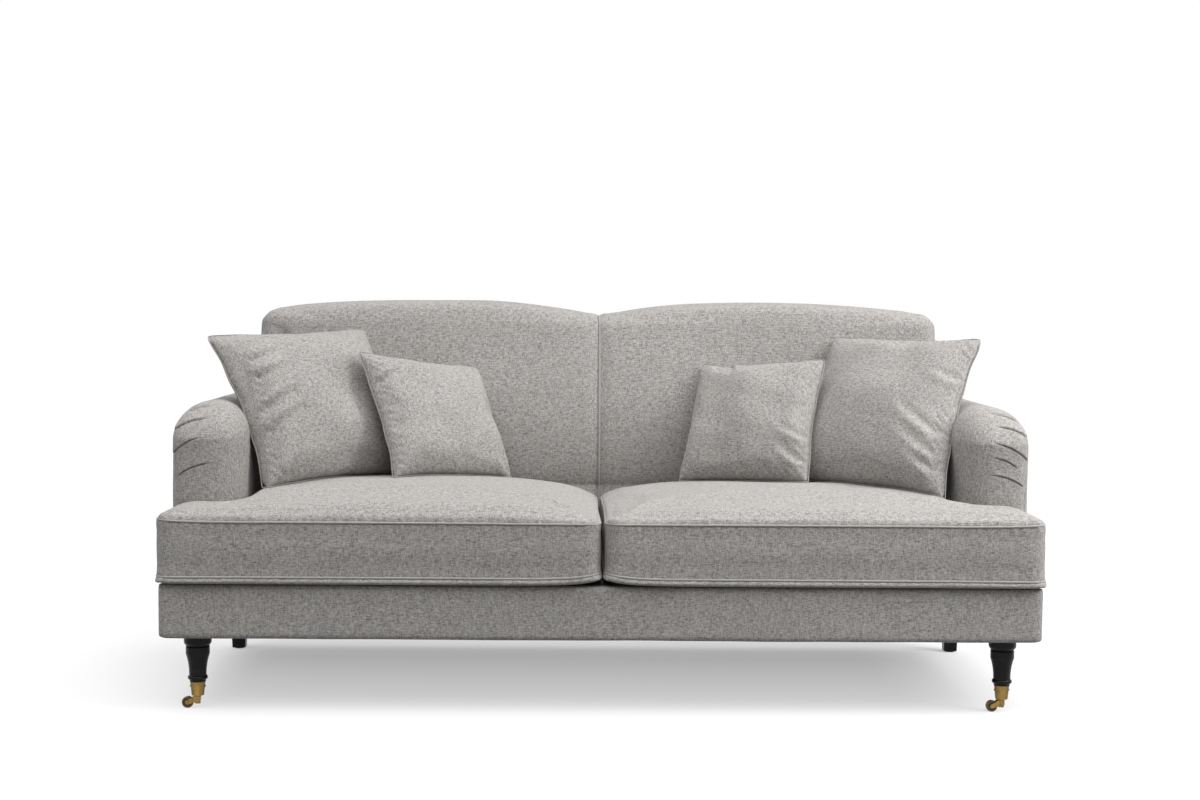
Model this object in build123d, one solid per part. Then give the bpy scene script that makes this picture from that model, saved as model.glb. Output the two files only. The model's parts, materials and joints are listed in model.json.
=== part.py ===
from build123d import *

import math
import os

# A roll-arm sofa for three with two T-shaped seat cushions, a humped back in two halves, four scatter
# cushions and brass castors in front. Millimetres, +Z up. The front faces -Y, the origin is on the floor
# under the middle of the whole box, and "right" is the +X side.

# Overall sizes
OVERALL_WIDTH = 1950.0  # over the piping of the two seat cushions
OVERALL_DEPTH = 850.0  # from the seat piping to the outer back
BACK_PEAK = 903.0  # top of each hump of the back

# Gaps
SEWN_GAP = 0.3  # soft pieces from what they rest on or pass
FIT_GAP = 0.1  # fasteners, dowels and tenons in their holes
RUNNING_GAP = 0.05  # turning fits in the castors
PIPING_GAP = 1.5  # piping from the next upholstered face
CUT_PAST = 1.0  # cutting and measuring shapes past the faces that they meet

# Base and its hardwood frame
LEG_HEIGHT = 163.0
BASE_HEIGHT = 119.0
BASE_INSET = 7.0  # base sides behind the seat piping
BORDER_SETBACK = 14.0  # base front behind the seat piping
BORDER_THICKNESS = 22.0
BORDER_CORNER = 18.0
PANEL_THICKNESS = 8.0
RAIL_THICKNESS = 26.0
PLATE_THICKNESS = 3.0  # steel plate between each leg and the frame
BRACE_WIDTH = 40.0
BRACE_HEIGHT = 70.0
BLOCK_LEG = 120.0  # corner block along each rail
BLOCK_HEIGHT = 70.0
DECK_THICKNESS = 14.0
DUST_COVER_THICKNESS = 1.5
DUST_COVER_CUT = 2.0  # room round each leg plate
DOWEL_RADIUS = 5.0
DOWEL_LENGTH = 40.0
DOWEL_SPACING = 22.0

# Seat springs
SPRING_COUNT = 10
SPRING_WIRE = 3.6
SPRING_PITCH = 26.0  # aimed for, between neighbouring bars
SPRING_BAR = 40.0
SPRING_MARGIN = 80.0  # outer spring from the arm's inner face
CLIP_HEIGHT = 6.0
CLIP_WIDTH = 22.0
CLIP_LENGTH = 20.0

# Seat cushions
SEAT_ROLL = 18.0  # rounding from the underside to the lower piping
BOXING_HEIGHT = 119.0  # lower to upper piping
SEAT_CROWN = 55.0  # middle of the top above the upper piping
SHOULDER_RUN = 62.0
SHOULDER_RISE = 36.0
SHOULDER_BULGE = 11.0
EAR_SLOPE_START = 30.0  # inside the arm's inner face
EAR_SLOPE_TOP = 44.0
EAR_SLOPE_END = 80.0  # outside the arm's inner face
EAR_RISE = 29.0
EAR_SLOPE_SAG = 3.0
SEAT_CORNER = 28.0
EAR_REAR_CORNER = 14.0
EAR_INNER_CORNER = 10.0
SEAT_DRAW = 5.0  # front and inner sides drawn in between their corners
COVER_THICKNESS = 6.0
PIPING_RADIUS = 2.6
ZIP_LENGTH = 520.0
ZIP_WIDTH = 16.0
ZIP_THICKNESS = 2.4
ZIP_CHAIN_WIDTH = 4.0
ZIP_CHAIN_HEIGHT = 0.8
ZIP_SLIDER = (11.0, 8.0, 2.2)
ZIP_PULL = (4.0, 16.0, 1.0)

# Arms
ARM_WIDTH = 162.0
ARM_HEIGHT = 670.0
ARM_SETBACK = 150.0  # arm front behind the seat piping
ARM_EDGE_RADIUS = 35.0
ARM_WALL = 40.0
ARM_FRONT_PAD = 40.0
ARM_ROLL_DEPTH = 15.0  # stuffing below the axis of the arm's round top
ARM_POST_DEPTH = 42.0
ARM_RAIL_THICKNESS = 32.0

# Back
BACK_DEPTH = 250.0  # the back's face before the outer back, at the upper piping
BACK_RAKE = 10.0
BACK_OVERLAP = 44.0  # back beyond the arm's inner face
BACK_SHOULDER = 876.0
BACK_NOTCH = 870.0
BACK_CORNER_RADIUS = 38.0
BACK_EDGE_RADIUS = 38.0
BACK_REAR_RADIUS = 18.0
BACK_PANEL_INSET = 24.0
BACK_PAD = 90.0
BACK_SIDE_WALL = 40.0
BACK_TOP_WALL = 70.0
BACK_POST = (40.0, 45.0)
BACK_RAIL_HEIGHT = 62.0
BACK_LOWER_RAIL_LIFT = 20.0
WEBBING_COUNT = 8
WEBBING_WIDTH = 60.0
WEBBING_THICKNESS = 2.0

# Front legs and castors
FRONT_LEG_INSET = (43.0, 13.0)  # leg axis inside the side rail and behind the front rail
LEG_FLANGE_RADIUS = 30.4
LEG_FLANGE_HEIGHT = 12.0
LEG_COLLAR_RADIUS = 26.2
LEG_COLLAR_TOP = 22.0  # collar below the leg's top
LEG_COLLAR_HEIGHT = 20.0
LEG_GROOVE = 1.5
LEG_ANKLE_RADIUS = 19.0
LEG_BEAD_RADIUS = 22.0
LEG_BEAD_HEIGHT = 10.0
LEG_NECK_RADIUS = 17.7
LEG_NECK_HEIGHT = 4.0
LEG_WAIST = 2.2  # shaft hollowed between ankle and collar
CASTOR_HEIGHT = 28.7  # underside of the cup above the floor
CUP_HEIGHT = 30.5
CUP_TOP_RADIUS = 16.9
CUP_FOOT_RADIUS = 13.5
CUP_WALL = 1.6
CUP_FLOOR = 4.0
CUP_SCREW_HEIGHT = 20.0
CUP_SCREW_RADIUS = 1.3
CUP_SCREW_LENGTH = 7.0
CUP_SCREW_HEAD = (2.3, 1.1)
CASTOR_TRAIL = 22.0
WHEEL_RADIUS = 12.7
WHEEL_WIDTH = 10.0
WHEEL_RIM = 3.0
WHEEL_HUB = 4.2
WHEEL_RECESS = 1.6
WHEEL_ROUND = 1.2
WHEEL_SIDE_GAP = 0.4
AXLE_RADIUS = 2.0
AXLE_HEAD = (3.2, 1.0)
CHEEK_THICKNESS = 1.8
CHEEK_EYE_RADIUS = 4.6
BOSS_RADIUS = 6.0
BOSS_BOTTOM = 10.0
CROWN_BOTTOM = 16.0
CROWN_DROP = 2.5
CROWN_REACH = 8.0
STEM_RADIUS = 3.5
RIVET_HEAD = (5.5, 2.0)
RIVET_ROOM = 1.0

# Rear legs and leg fixings
REAR_LEG_INSET = (12.0, 19.0)  # leg axis inside the side rail and before the rear rail
REAR_LEG_TOP = 46.0
REAR_LEG_FOOT = 33.0
REAR_LEG_ROUND = 4.0
GLIDE_RADIUS = 12.0
GLIDE_HEIGHT = 3.0
GLIDE_PIN = (2.5, 14.0)
PLATE_INSET = 6.0  # leg plate inside the leg's top
LEG_BOLT_RADIUS = 4.0
LEG_BOLT_DEPTH = 45.0
LEG_BOLT_RISE = 50.0  # into the corner block

# Scatter cushions: each level is a share of the half thickness, of the half size taken off, and of
# the half size by which a side is drawn in between its corners
LARGE_CUSHION = (420.0, 138.0)
SMALL_CUSHION = (332.0, 112.0)
CUSHION_LEVELS = ((0.0, 0.0, 0.075), (0.52, 0.14, 0.045), (0.85, 0.40, -0.03), (1.0, 0.70, -0.05))
CUSHION_COVER = 4.0
CUSHION_GAP = 0.7  # scatter cushions from what they rest on
LEFT_SMALL_CUSHION_REACH = 418.0  # middle of a small cushion from the arm's inner face
RIGHT_SMALL_CUSHION_REACH = 439.0
LARGE_CUSHION_TURN = {"left": (46.0, 29.0, -4.0), "right": (43.0, 36.0, -3.0)}  # yaw, lean back, roll
SMALL_CUSHION_TURN = {"left": (40.0, 33.0, -6.0), "right": (30.0, 31.0, -5.0)}
POINT_RINGS = 3  # rings of points on each level, and points along a side, for finding where one rests
POINT_COUNT = 21
REST_ROUNDS = 6

# Places that follow from the sizes
half_width = OVERALL_WIDTH / 2
front = -OVERALL_DEPTH / 2
rear = OVERALL_DEPTH / 2
base_half = half_width - BASE_INSET
base_bottom = LEG_HEIGHT
base_top = base_bottom + BASE_HEIGHT
border_front = front + BORDER_SETBACK
border_back = border_front + BORDER_THICKNESS
panel_inside = base_half - PANEL_THICKNESS
rear_inside = rear - PANEL_THICKNESS
frame_bottom = base_bottom + PLATE_THICKNESS
deck_bottom = base_top - DECK_THICKNESS
rail_top = deck_bottom - SEWN_GAP - CLIP_HEIGHT
front_rail_back = border_back + RAIL_THICKNESS
rear_rail_front = rear_inside - RAIL_THICKNESS
side_rail_inside = panel_inside - RAIL_THICKNESS
block_top = frame_bottom + BLOCK_HEIGHT

arm_inside = base_half - ARM_WIDTH
arm_radius = ARM_WIDTH / 2
arm_axis = (base_half - arm_radius, ARM_HEIGHT - arm_radius)
arm_front = front + ARM_SETBACK
arm_hollow_inside = arm_inside + ARM_WALL
arm_hollow_top = arm_axis[1] - ARM_ROLL_DEPTH
arm_hollow_front = arm_front + ARM_FRONT_PAD

seat_bottom = base_top + SEWN_GAP
piping_low = seat_bottom + SEAT_ROLL
piping_high = piping_low + BOXING_HEIGHT
piping_proud = 2 * PIPING_RADIUS + SEWN_GAP
piping_room = piping_proud + PIPING_GAP
seat_front = front + piping_proud
seat_inside = piping_proud + PIPING_GAP / 2
seat_outside = half_width - piping_proud
seat_arm_side = arm_inside - piping_room
seat_ear_rear = arm_front - piping_room

back_half = arm_inside + BACK_OVERLAP
back_peak_place = back_half / 2
arm_frame_inside = max(arm_hollow_inside, back_half) + SEWN_GAP
back_slope = math.tan(math.radians(BACK_RAKE))

front_leg = (side_rail_inside - FRONT_LEG_INSET[0], front_rail_back + FRONT_LEG_INSET[1])
rear_leg = (side_rail_inside - REAR_LEG_INSET[0], rear_rail_front - REAR_LEG_INSET[1])
cup_top = CASTOR_HEIGHT + CUP_HEIGHT
cup_floor_top = CASTOR_HEIGHT + CUP_FLOOR


# Shared shapes


def block(x_range, y_range, z_range):
    """A box between two places on each axis."""
    middle = [(low + high) / 2 for low, high in (x_range, y_range, z_range)]
    size = [high - low for low, high in (x_range, y_range, z_range)]
    return Pos(*middle) * Box(*size)


def rod(start, end, radius):
    """A round bar between two points."""
    span = Vector(*end) - Vector(*start)
    return extrude(Plane(origin=start, z_dir=span) * Circle(radius), amount=span.length)


def outline(*segments):
    """A face bounded by straight (two-point) and arc (three-point) segments."""
    edges = [Line(*points) if len(points) == 2 else ThreePointArc(*points) for points in segments]
    return make_face(edges)


def polygon(*points):
    return make_face(Polyline(*points, close=True))


def round_corners(face, radius, *spots):
    """Rounds the corners of a face that lie nearest to the given spots."""
    corners = [face.vertices().sort_by_distance(Vector(*spot))[0] for spot in spots]
    return fillet(corners, radius)


def along_x(face, x_range):
    """A side outline, drawn in Y and Z, carried from one X to another."""
    plane = Plane((x_range[0], 0, 0), x_dir=(0, 1, 0), z_dir=(1, 0, 0))
    return extrude(plane * face, amount=x_range[1] - x_range[0])


def along_y(face, y_range):
    """A front outline, drawn in X and Z, carried from one Y to another."""
    plane = Plane((0, y_range[1], 0), x_dir=(1, 0, 0), z_dir=(0, -1, 0))
    return extrude(plane * face, amount=y_range[1] - y_range[0])


def along_z(face, z_range):
    return extrude(Pos(0, 0, z_range[0]) * face, amount=z_range[1] - z_range[0])


def bulged(start, end, bulge):
    """The three points of an arc that stands off its chord, to the left where bulge is positive."""
    run = end[0] - start[0]
    rise = end[1] - start[1]
    length = math.hypot(run, rise)
    across = (start[0] + end[0]) / 2 - rise / length * bulge
    up = (start[1] + end[1]) / 2 + run / length * bulge
    return start, (across, up), end


def other_side(shape):
    return mirror(shape, about=Plane.YZ)


def both_sides(shape):
    return Compound([*shape.solids(), *other_side(shape).solids()])


def group(shapes):
    return Compound([solid for shape in shapes for solid in shape.solids()])


def back_face(z):
    """Y of the back's raked face at a height."""
    return rear - BACK_DEPTH + (z - piping_high) * back_slope


# Base and frame


def front_border():
    plan = polygon((-base_half, border_front), (base_half, border_front), (base_half, border_back),
                   (-base_half, border_back))
    plan = round_corners(plan, BORDER_CORNER, (-base_half, border_front), (base_half, border_front))
    return along_z(plan, (base_bottom, base_top))


def outer_side_panel():
    panel_top = arm_hollow_top - SEWN_GAP
    step = arm_front + ARM_EDGE_RADIUS + SEWN_GAP
    side = polygon((border_back, base_bottom), (rear_inside, base_bottom), (rear_inside, panel_top),
                   (step, panel_top), (step, base_top), (border_back, base_top))
    return along_x(side, (panel_inside, base_half))


def back_outline(x_inner, inset):
    """The humped front outline of one half of the back, down to the deck."""
    side = back_half - inset
    shoulder = (side, BACK_SHOULDER - inset)
    notch = (x_inner, BACK_NOTCH - inset)
    face = outline(
        ((x_inner, base_top), (side, base_top)),
        ((side, base_top), shoulder),
        (shoulder, (back_peak_place, BACK_PEAK - inset), notch),
        (notch, (x_inner, base_top)),
    )
    return round_corners(face, BACK_CORNER_RADIUS, shoulder)


def outer_back_panel():
    skirt = block((-base_half, base_half), (rear_inside, rear), (base_bottom, base_top))
    half = along_y(back_outline(0, BACK_PANEL_INSET), (rear_inside, rear))
    return skirt + half + other_side(half)


def dowel_rows():
    """Both ends of every dowel on the right side of the frame."""
    rows = []
    half = DOWEL_LENGTH / 2
    pair = (-DOWEL_SPACING / 2, DOWEL_SPACING / 2)
    arm_height = (block_top + rail_top) / 2
    for post_front in arm_post_fronts():
        for offset in pair:
            y = post_front + ARM_POST_DEPTH / 2 + offset
            inner = (side_rail_inside - half, y, arm_height)
            rows.append((inner, (side_rail_inside + half / 2, y, arm_height)))
    post = back_post_range()
    rail_y = rear_inside - RAIL_THICKNESS / 2
    for offset in pair:
        x = (post[0] + post[1] + offset) / 2
        rows.append(((x, rail_y, rail_top - half), (x, rail_y, rail_top + half)))
    post_y = rear_inside - BACK_POST[1] / 2
    for rail_bottom in (back_lower_rail_bottom(), back_top_rail_bottom()):
        for offset in pair:
            z = rail_bottom + BACK_RAIL_HEIGHT / 2 + offset
            rows.append(((post[0] - half, post_y, z), (post[0] + half / 2, post_y, z)))
    return rows


def back_post_range():
    outside = back_half - BACK_SIDE_WALL - SEWN_GAP
    return outside - BACK_POST[0], outside


def back_top_rail_bottom():
    return BACK_NOTCH - BACK_TOP_WALL - SEWN_GAP - BACK_RAIL_HEIGHT


def back_lower_rail_bottom():
    return base_top + BACK_LOWER_RAIL_LIFT


def arm_post_fronts():
    return arm_hollow_front + SEWN_GAP, rear_rail_front - ARM_POST_DEPTH


def drilled(shape, rows, radius, extra):
    """A piece with a round hole along each row that reaches into it."""
    for start, end in rows:
        reach = (Vector(*end) - Vector(*start)).normalized() * extra
        shape = shape - rod(tuple(Vector(*start) - reach), tuple(Vector(*end) + reach), radius)
    return shape


def frame_pieces():
    """The hardwood frame, bored for its dowels."""
    inside = (front_rail_back, rear_rail_front)
    height = (frame_bottom, rail_top)
    full = (-panel_inside, panel_inside)
    post_x = back_post_range()
    post_y = (rear_inside - BACK_POST[1], rear_inside)
    top_rail = (back_top_rail_bottom(), back_top_rail_bottom() + BACK_RAIL_HEIGHT)
    lower_rail = (back_lower_rail_bottom(), back_lower_rail_bottom() + BACK_RAIL_HEIGHT)
    arm_x = (arm_frame_inside, side_rail_inside)
    arm_rail = (arm_hollow_top - SEWN_GAP - ARM_RAIL_THICKNESS, arm_hollow_top - SEWN_GAP)
    post_fronts = arm_post_fronts()
    arm_posts = [block(arm_x, (y, y + ARM_POST_DEPTH), (block_top, arm_rail[0])) for y in post_fronts]
    brace_x = (-BRACE_WIDTH / 2, BRACE_WIDTH / 2)
    between_posts = (-post_x[0], post_x[0])
    pieces = {
        "front_rail": block(full, (border_back, front_rail_back), height),
        "rear_rail": block(full, (rear_rail_front, rear_inside), height),
        "side_rails": both_sides(block((side_rail_inside, panel_inside), inside, height)),
        "centre_brace": block(brace_x, inside, (frame_bottom, frame_bottom + BRACE_HEIGHT)),
        "arm_posts": both_sides(group(arm_posts)),
        "arm_rails": both_sides(block(arm_x, (post_fronts[0], rear_rail_front), arm_rail)),
        "back_posts": both_sides(block(post_x, post_y, (rail_top, top_rail[1]))),
        "back_centre_post": block(brace_x, post_y, (lower_rail[1], top_rail[0])),
        "back_top_rail": block(between_posts, post_y, top_rail),
        "back_lower_rail": block(between_posts, post_y, lower_rail),
    }
    rows = dowel_rows()
    rows += [tuple((-x, y, z) for x, y, z in row) for row in rows]
    bored = ("rear_rail", "side_rails", "arm_posts", "back_posts", "back_top_rail", "back_lower_rail")
    for name in bored:
        pieces[name] = drilled(pieces[name], rows, DOWEL_RADIUS + FIT_GAP, FIT_GAP)
    pieces["frame_dowels"] = group([rod(start, end, DOWEL_RADIUS) for start, end in rows])
    return pieces


def leg_places():
    """Each leg's axis, the half size of the plate above it and the signs of its corner."""
    places = []
    for side in (-1, 1):
        places.append((side * front_leg[0], front_leg[1], LEG_FLANGE_RADIUS - PLATE_INSET, side, -1))
        places.append((side * rear_leg[0], rear_leg[1], REAR_LEG_TOP / 2 - PLATE_INSET / 2, side, 1))
    return places


def corner_block(x, y, side, end):
    corner_y = front_rail_back if end < 0 else rear_rail_front
    corner = (side * side_rail_inside, corner_y)
    side_end = (corner[0] - side * BLOCK_LEG, corner[1])
    plan = polygon(corner, side_end, (corner[0], corner[1] - end * BLOCK_LEG))
    hole_top = frame_bottom + LEG_BOLT_RISE + FIT_GAP
    hole = rod((x, y, frame_bottom - CUT_PAST), (x, y, hole_top), LEG_BOLT_RADIUS + FIT_GAP)
    return along_z(plan, (frame_bottom, block_top)) - hole


def leg_fixings():
    """Corner blocks, and the plates and bolts that hold the legs to them."""
    blocks, plates, bolts = [], [], []
    for x, y, half, side, end in leg_places():
        hole_top = (x, y, frame_bottom + CUT_PAST)
        hole = rod((x, y, base_bottom - CUT_PAST), hole_top, LEG_BOLT_RADIUS + FIT_GAP)
        blocks.append(corner_block(x, y, side, end))
        plates.append(block((x - half, x + half), (y - half, y + half), (base_bottom, frame_bottom)) - hole)
        bolt_top = frame_bottom + LEG_BOLT_RISE
        bolts.append(rod((x, y, base_bottom - LEG_BOLT_DEPTH), (x, y, bolt_top), LEG_BOLT_RADIUS))
    return {
        "corner_blocks": group(blocks),
        "leg_plates": group(plates),
        "leg_bolts": group(bolts),
    }


def dust_cover():
    side = panel_inside - SEWN_GAP
    length = (border_back + SEWN_GAP, rear_inside - SEWN_GAP)
    height = (frame_bottom - DUST_COVER_THICKNESS, frame_bottom)
    sheet = block((-side, side), length, height)
    for x, y, half, _, _ in leg_places():
        room = half + DUST_COVER_CUT
        through = (height[0] - CUT_PAST, height[1] + CUT_PAST)
        sheet = sheet - block((x - room, x + room), (y - room, y + room), through)
    return sheet


def seat_deck():
    side = panel_inside - SEWN_GAP
    height = (deck_bottom, base_top)
    deck = block((-side, side), (border_back + SEWN_GAP, rear_inside - SEWN_GAP), height)
    through = (height[0] - CUT_PAST, height[1] + CUT_PAST)
    post_x = back_post_range()
    cuts = [((post_x[0], post_x[1]), (rear_inside - BACK_POST[1], rear_inside))]
    for y in arm_post_fronts():
        cuts.append(((arm_frame_inside, side_rail_inside), (y, y + ARM_POST_DEPTH)))
    for x_range, y_range in cuts:
        wide = (x_range[0] - SEWN_GAP, x_range[1] + SEWN_GAP)
        hole = block(wide, (y_range[0] - SEWN_GAP, y_range[1] + SEWN_GAP), through)
        deck = deck - hole - other_side(hole)
    return deck


# Springs and webbing


def spring_places():
    reach = arm_inside - SPRING_MARGIN
    return [-reach + 2 * reach * index / (SPRING_COUNT - 1) for index in range(SPRING_COUNT)]


def spring_ends():
    return border_back + RAIL_THICKNESS / 2, rear_inside - RAIL_THICKNESS / 2


def zigzag_spring():
    """One zigzag spring about X = 0: straight bars joined by half turns."""
    start, end = spring_ends()
    turns = round((end - start) / SPRING_PITCH)
    pitch = (end - start) / turns
    height = rail_top + CLIP_HEIGHT / 2
    half = SPRING_BAR / 2
    edges = []
    for index in range(turns + 1):
        side = 1 if index % 2 else -1
        y = start + index * pitch
        edges.append(Line((side * half, y, height), (-side * half, y, height)))
        if index < turns:
            bend = (-side * (half + pitch / 2), y + pitch / 2, height)
            edges.append(ThreePointArc((-side * half, y, height), bend, (-side * half, y + pitch, height)))
    path = Wire(edges)
    print("seat spring: least gap between bars", round(pitch - SPRING_WIRE, 2), "mm")
    return sweep(Plane(origin=path @ 0, z_dir=path % 0) * Circle(SPRING_WIRE / 2), path=path)


def spring_pieces():
    spring = zigzag_spring()
    height = rail_top + CLIP_HEIGHT / 2
    clips = []
    for y in spring_ends():
        clip = block((-CLIP_WIDTH / 2, CLIP_WIDTH / 2), (y - CLIP_LENGTH / 2, y + CLIP_LENGTH / 2),
                     (rail_top, rail_top + CLIP_HEIGHT))
        bore = rod((-CLIP_WIDTH, y, height), (CLIP_WIDTH, y, height), SPRING_WIRE / 2 + FIT_GAP)
        clips.append(clip - bore)
    places = spring_places()
    return {
        "seat_springs": group([Pos(x, 0, 0) * spring for x in places]),
        "spring_clips": group([Pos(x, 0, 0) * clip for x in places for clip in clips]),
    }


def back_webbing():
    reach = back_post_range()[0] - WEBBING_WIDTH
    y = rear_inside - BACK_POST[1]
    bottom = back_lower_rail_bottom()
    top = back_top_rail_bottom() + BACK_RAIL_HEIGHT
    half = WEBBING_WIDTH / 2
    straps = []
    for index in range(WEBBING_COUNT):
        x = -reach + 2 * reach * index / (WEBBING_COUNT - 1)
        straps.append(block((x - half, x + half), (y - WEBBING_THICKNESS, y), (bottom, top)))
    return group(straps)


# Arms and back


def back_room():
    """The space that the back takes from an arm, with its gap."""
    low = base_top - CUT_PAST
    high = ARM_HEIGHT + CUT_PAST
    side = polygon((back_face(low) - SEWN_GAP, low), (rear + CUT_PAST, low), (rear + CUT_PAST, high),
                   (back_face(high) - SEWN_GAP, high))
    return along_x(side, (0, back_half + SEWN_GAP))


def arm_pad():
    """A round-topped arm, hollow over its frame and cut away for the back."""
    spring_in = (arm_inside, arm_axis[1])
    spring_out = (base_half, arm_axis[1])
    face = outline(
        ((arm_inside, base_top), (base_half, base_top)),
        ((base_half, base_top), spring_out),
        (spring_out, (arm_axis[0], ARM_HEIGHT), spring_in),
        (spring_in, (arm_inside, base_top)),
    )
    pad = along_y(face, (arm_front, rear))
    front_edges = pad.edges().filter_by_position(Axis.Y, arm_front - CUT_PAST, arm_front + CUT_PAST)
    above_base = front_edges.filter_by_position(Axis.Z, base_top + CUT_PAST, ARM_HEIGHT + CUT_PAST)
    pad = fillet(above_base, ARM_EDGE_RADIUS)
    low = base_top - CUT_PAST
    height = (low, arm_hollow_top)
    hollow = block((arm_hollow_inside, panel_inside), (arm_hollow_front, rear_inside), height)
    panel_length = (arm_front + ARM_EDGE_RADIUS, rear_inside + SEWN_GAP)
    panel_slot = block((panel_inside - SEWN_GAP, base_half + CUT_PAST), panel_length, height)
    return pad - hollow - panel_slot - back_room()


def back_seam_path():
    """The seam between the halves of the back: up the raked face and over the notch."""
    start = base_top + PIPING_RADIUS
    low = (0, back_face(start), start)
    corner = (0, back_face(BACK_NOTCH), BACK_NOTCH)
    end = (0, rear_inside - BACK_REAR_RADIUS, BACK_NOTCH)
    return Wire(FilletPolyline(low, corner, end, radius=BACK_EDGE_RADIUS).edges())


def back_piping():
    path = back_seam_path()
    return sweep(Plane(origin=path @ 0, z_dir=path % 0) * Circle(PIPING_RADIUS), path=path)


def back_pad():
    """One humped half of the back, hollow over its frame, with room for the piping between the halves."""
    seam = PIPING_RADIUS + SEWN_GAP
    top = BACK_PEAK + CUT_PAST
    wedge = polygon((back_face(base_top), base_top), (rear_inside, base_top), (rear_inside, top),
                    (back_face(top), top))
    pad = along_y(back_outline(seam, 0), (front, rear)) & along_x(wedge, (0, half_width))
    rear_edges = pad.edges().filter_by_position(Axis.Y, rear_inside - CUT_PAST, rear_inside + CUT_PAST)
    pad = fillet(outer_edges(rear_edges, seam), BACK_REAR_RADIUS)
    on_face = [edge for edge in pad.edges() if all(lies_on_back(edge @ place) for place in (0, 0.5, 1))]
    pad = fillet(outer_edges(on_face, seam), BACK_EDGE_RADIUS)
    hollow_top = BACK_NOTCH - BACK_TOP_WALL
    low = base_top - CUT_PAST
    hollow = polygon((back_face(low) + BACK_PAD, low), (rear + CUT_PAST, low), (rear + CUT_PAST, hollow_top),
                     (back_face(hollow_top) + BACK_PAD, hollow_top))
    return pad - along_x(hollow, (-1, back_half - BACK_SIDE_WALL))


def outer_edges(edges, seam):
    """The side and top edges of a back half, without those on the seat and on the seam."""
    low, inner = base_top + CUT_PAST, seam + CUT_PAST
    return [edge for edge in edges if edge.center().Z > low and edge.center().X > inner]


def lies_on_back(point):
    return abs(point.Y - back_face(point.Z)) < 0.01


# Seat cushions


def seat_rear(z, inset):
    return back_face(z) - piping_room - inset


def seat_side_arcs(inset):
    """The top of a seat cushion from front to rear, as three arcs in Y and Z."""
    edge = piping_high - inset
    start = (seat_front + inset, edge)
    end = (seat_rear(edge, inset), edge)
    rise = (start[0] + SHOULDER_RUN, edge + SHOULDER_RISE)
    fall = (end[0] - SHOULDER_RUN, edge + SHOULDER_RISE)
    crown = ((rise[0] + fall[0]) / 2, edge + SEAT_CROWN)
    return bulged(start, rise, SHOULDER_BULGE), (rise, crown, fall), bulged(fall, end, SHOULDER_BULGE)


def seat_front_arcs(inset):
    """The top of the right cushion from the middle of the sofa to the end of its ear, in X and Z."""
    edge = piping_high - inset
    start = (seat_inside + inset, edge)
    end = (seat_outside - inset, edge)
    rise = (start[0] + SHOULDER_RUN, edge + SHOULDER_RISE)
    slope_top = (arm_inside - EAR_SLOPE_START - inset, edge + EAR_SLOPE_TOP)
    slope_foot = (arm_inside + EAR_SLOPE_END - inset, edge + EAR_RISE)
    crown = ((rise[0] + slope_top[0]) / 2, edge + SEAT_CROWN)
    return (
        bulged(start, rise, SHOULDER_BULGE),
        (rise, crown, slope_top),
        bulged(slope_top, slope_foot, -EAR_SLOPE_SAG),
        bulged(slope_foot, end, SHOULDER_BULGE),
    )


def seat_plan(inset, rear_line):
    """The T-shaped plan of the right cushion, with its corners rounded."""
    near = seat_front + inset
    inner = seat_inside + inset
    outer = seat_outside - inset
    side = seat_arm_side - inset
    ear = seat_ear_rear - inset
    front_corners = [(inner, near), (outer, near)]
    rear_corners = [(outer, ear), (side, ear), (side, rear_line), (inner, rear_line)]
    corners = front_corners + rear_corners
    face = outline(
        bulged(corners[0], corners[1], SEAT_DRAW),
        (corners[1], corners[2]),
        (corners[2], corners[3]),
        (corners[3], corners[4]),
        (corners[4], corners[5]),
        bulged(corners[5], corners[0], SEAT_DRAW),
    )
    face = round_corners(face, SEAT_CORNER - inset, corners[0], corners[1])
    face = round_corners(face, EAR_REAR_CORNER - inset, corners[2])
    return round_corners(face, EAR_INNER_CORNER + inset, corners[3])


def roll_arc(x, z, sideways, inset):
    """The quarter round from the underside up to the lower piping, at the side that faces sideways."""
    radius = SEAT_ROLL - inset
    middle = (x - sideways * radius, z)
    diagonal = radius * math.sqrt(0.5)
    foot = (middle[0], z - radius)
    return foot, (middle[0] + sideways * diagonal, z - diagonal), (x, z)


def seat_form(inset):
    """The right cushion's shape: its plan, side and front outlines where all three meet."""
    bottom = seat_bottom + inset
    far = seat_rear(piping_high + SEAT_CROWN, 0) + CUT_PAST
    side_arcs = seat_side_arcs(inset)
    side_start = side_arcs[0][0]
    side_end = side_arcs[-1][2]
    front_roll = roll_arc(side_start[0], piping_low, -1, inset)
    rear_foot = (seat_rear(bottom, inset), bottom)
    side = outline(
        front_roll,
        (front_roll[2], side_start),
        *side_arcs,
        (side_end, rear_foot),
        (rear_foot, front_roll[0]),
    )
    front_arcs = seat_front_arcs(inset)
    front_start = front_arcs[0][0]
    front_end = front_arcs[-1][2]
    inner_roll = roll_arc(front_start[0], piping_low, -1, inset)
    outer_roll = roll_arc(front_end[0], piping_low, 1, inset)
    face = outline(
        inner_roll,
        (inner_roll[2], front_start),
        *front_arcs,
        (front_end, outer_roll[2]),
        (outer_roll[2], outer_roll[1], outer_roll[0]),
        (outer_roll[0], inner_roll[0]),
    )
    form = along_z(seat_plan(inset, far), (seat_bottom - CUT_PAST, piping_high + SEAT_CROWN + CUT_PAST))
    form = form & along_x(side, (0, half_width))
    return form & along_y(face, (front - CUT_PAST, rear))


def seat_piping(z):
    """Piping sewn on round the cushion at a height."""
    proud = PIPING_RADIUS + SEWN_GAP
    line = seat_rear(z, -proud)
    plan = seat_plan(-proud, line)
    plan = round_corners(plan, proud, (seat_arm_side, line), (seat_inside, line))
    path = plan.wires()[0]
    tube = sweep(Plane(origin=path @ 0, z_dir=path % 0) * Circle(PIPING_RADIUS), path=path)
    return Pos(0, 0, z) * tube


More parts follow.
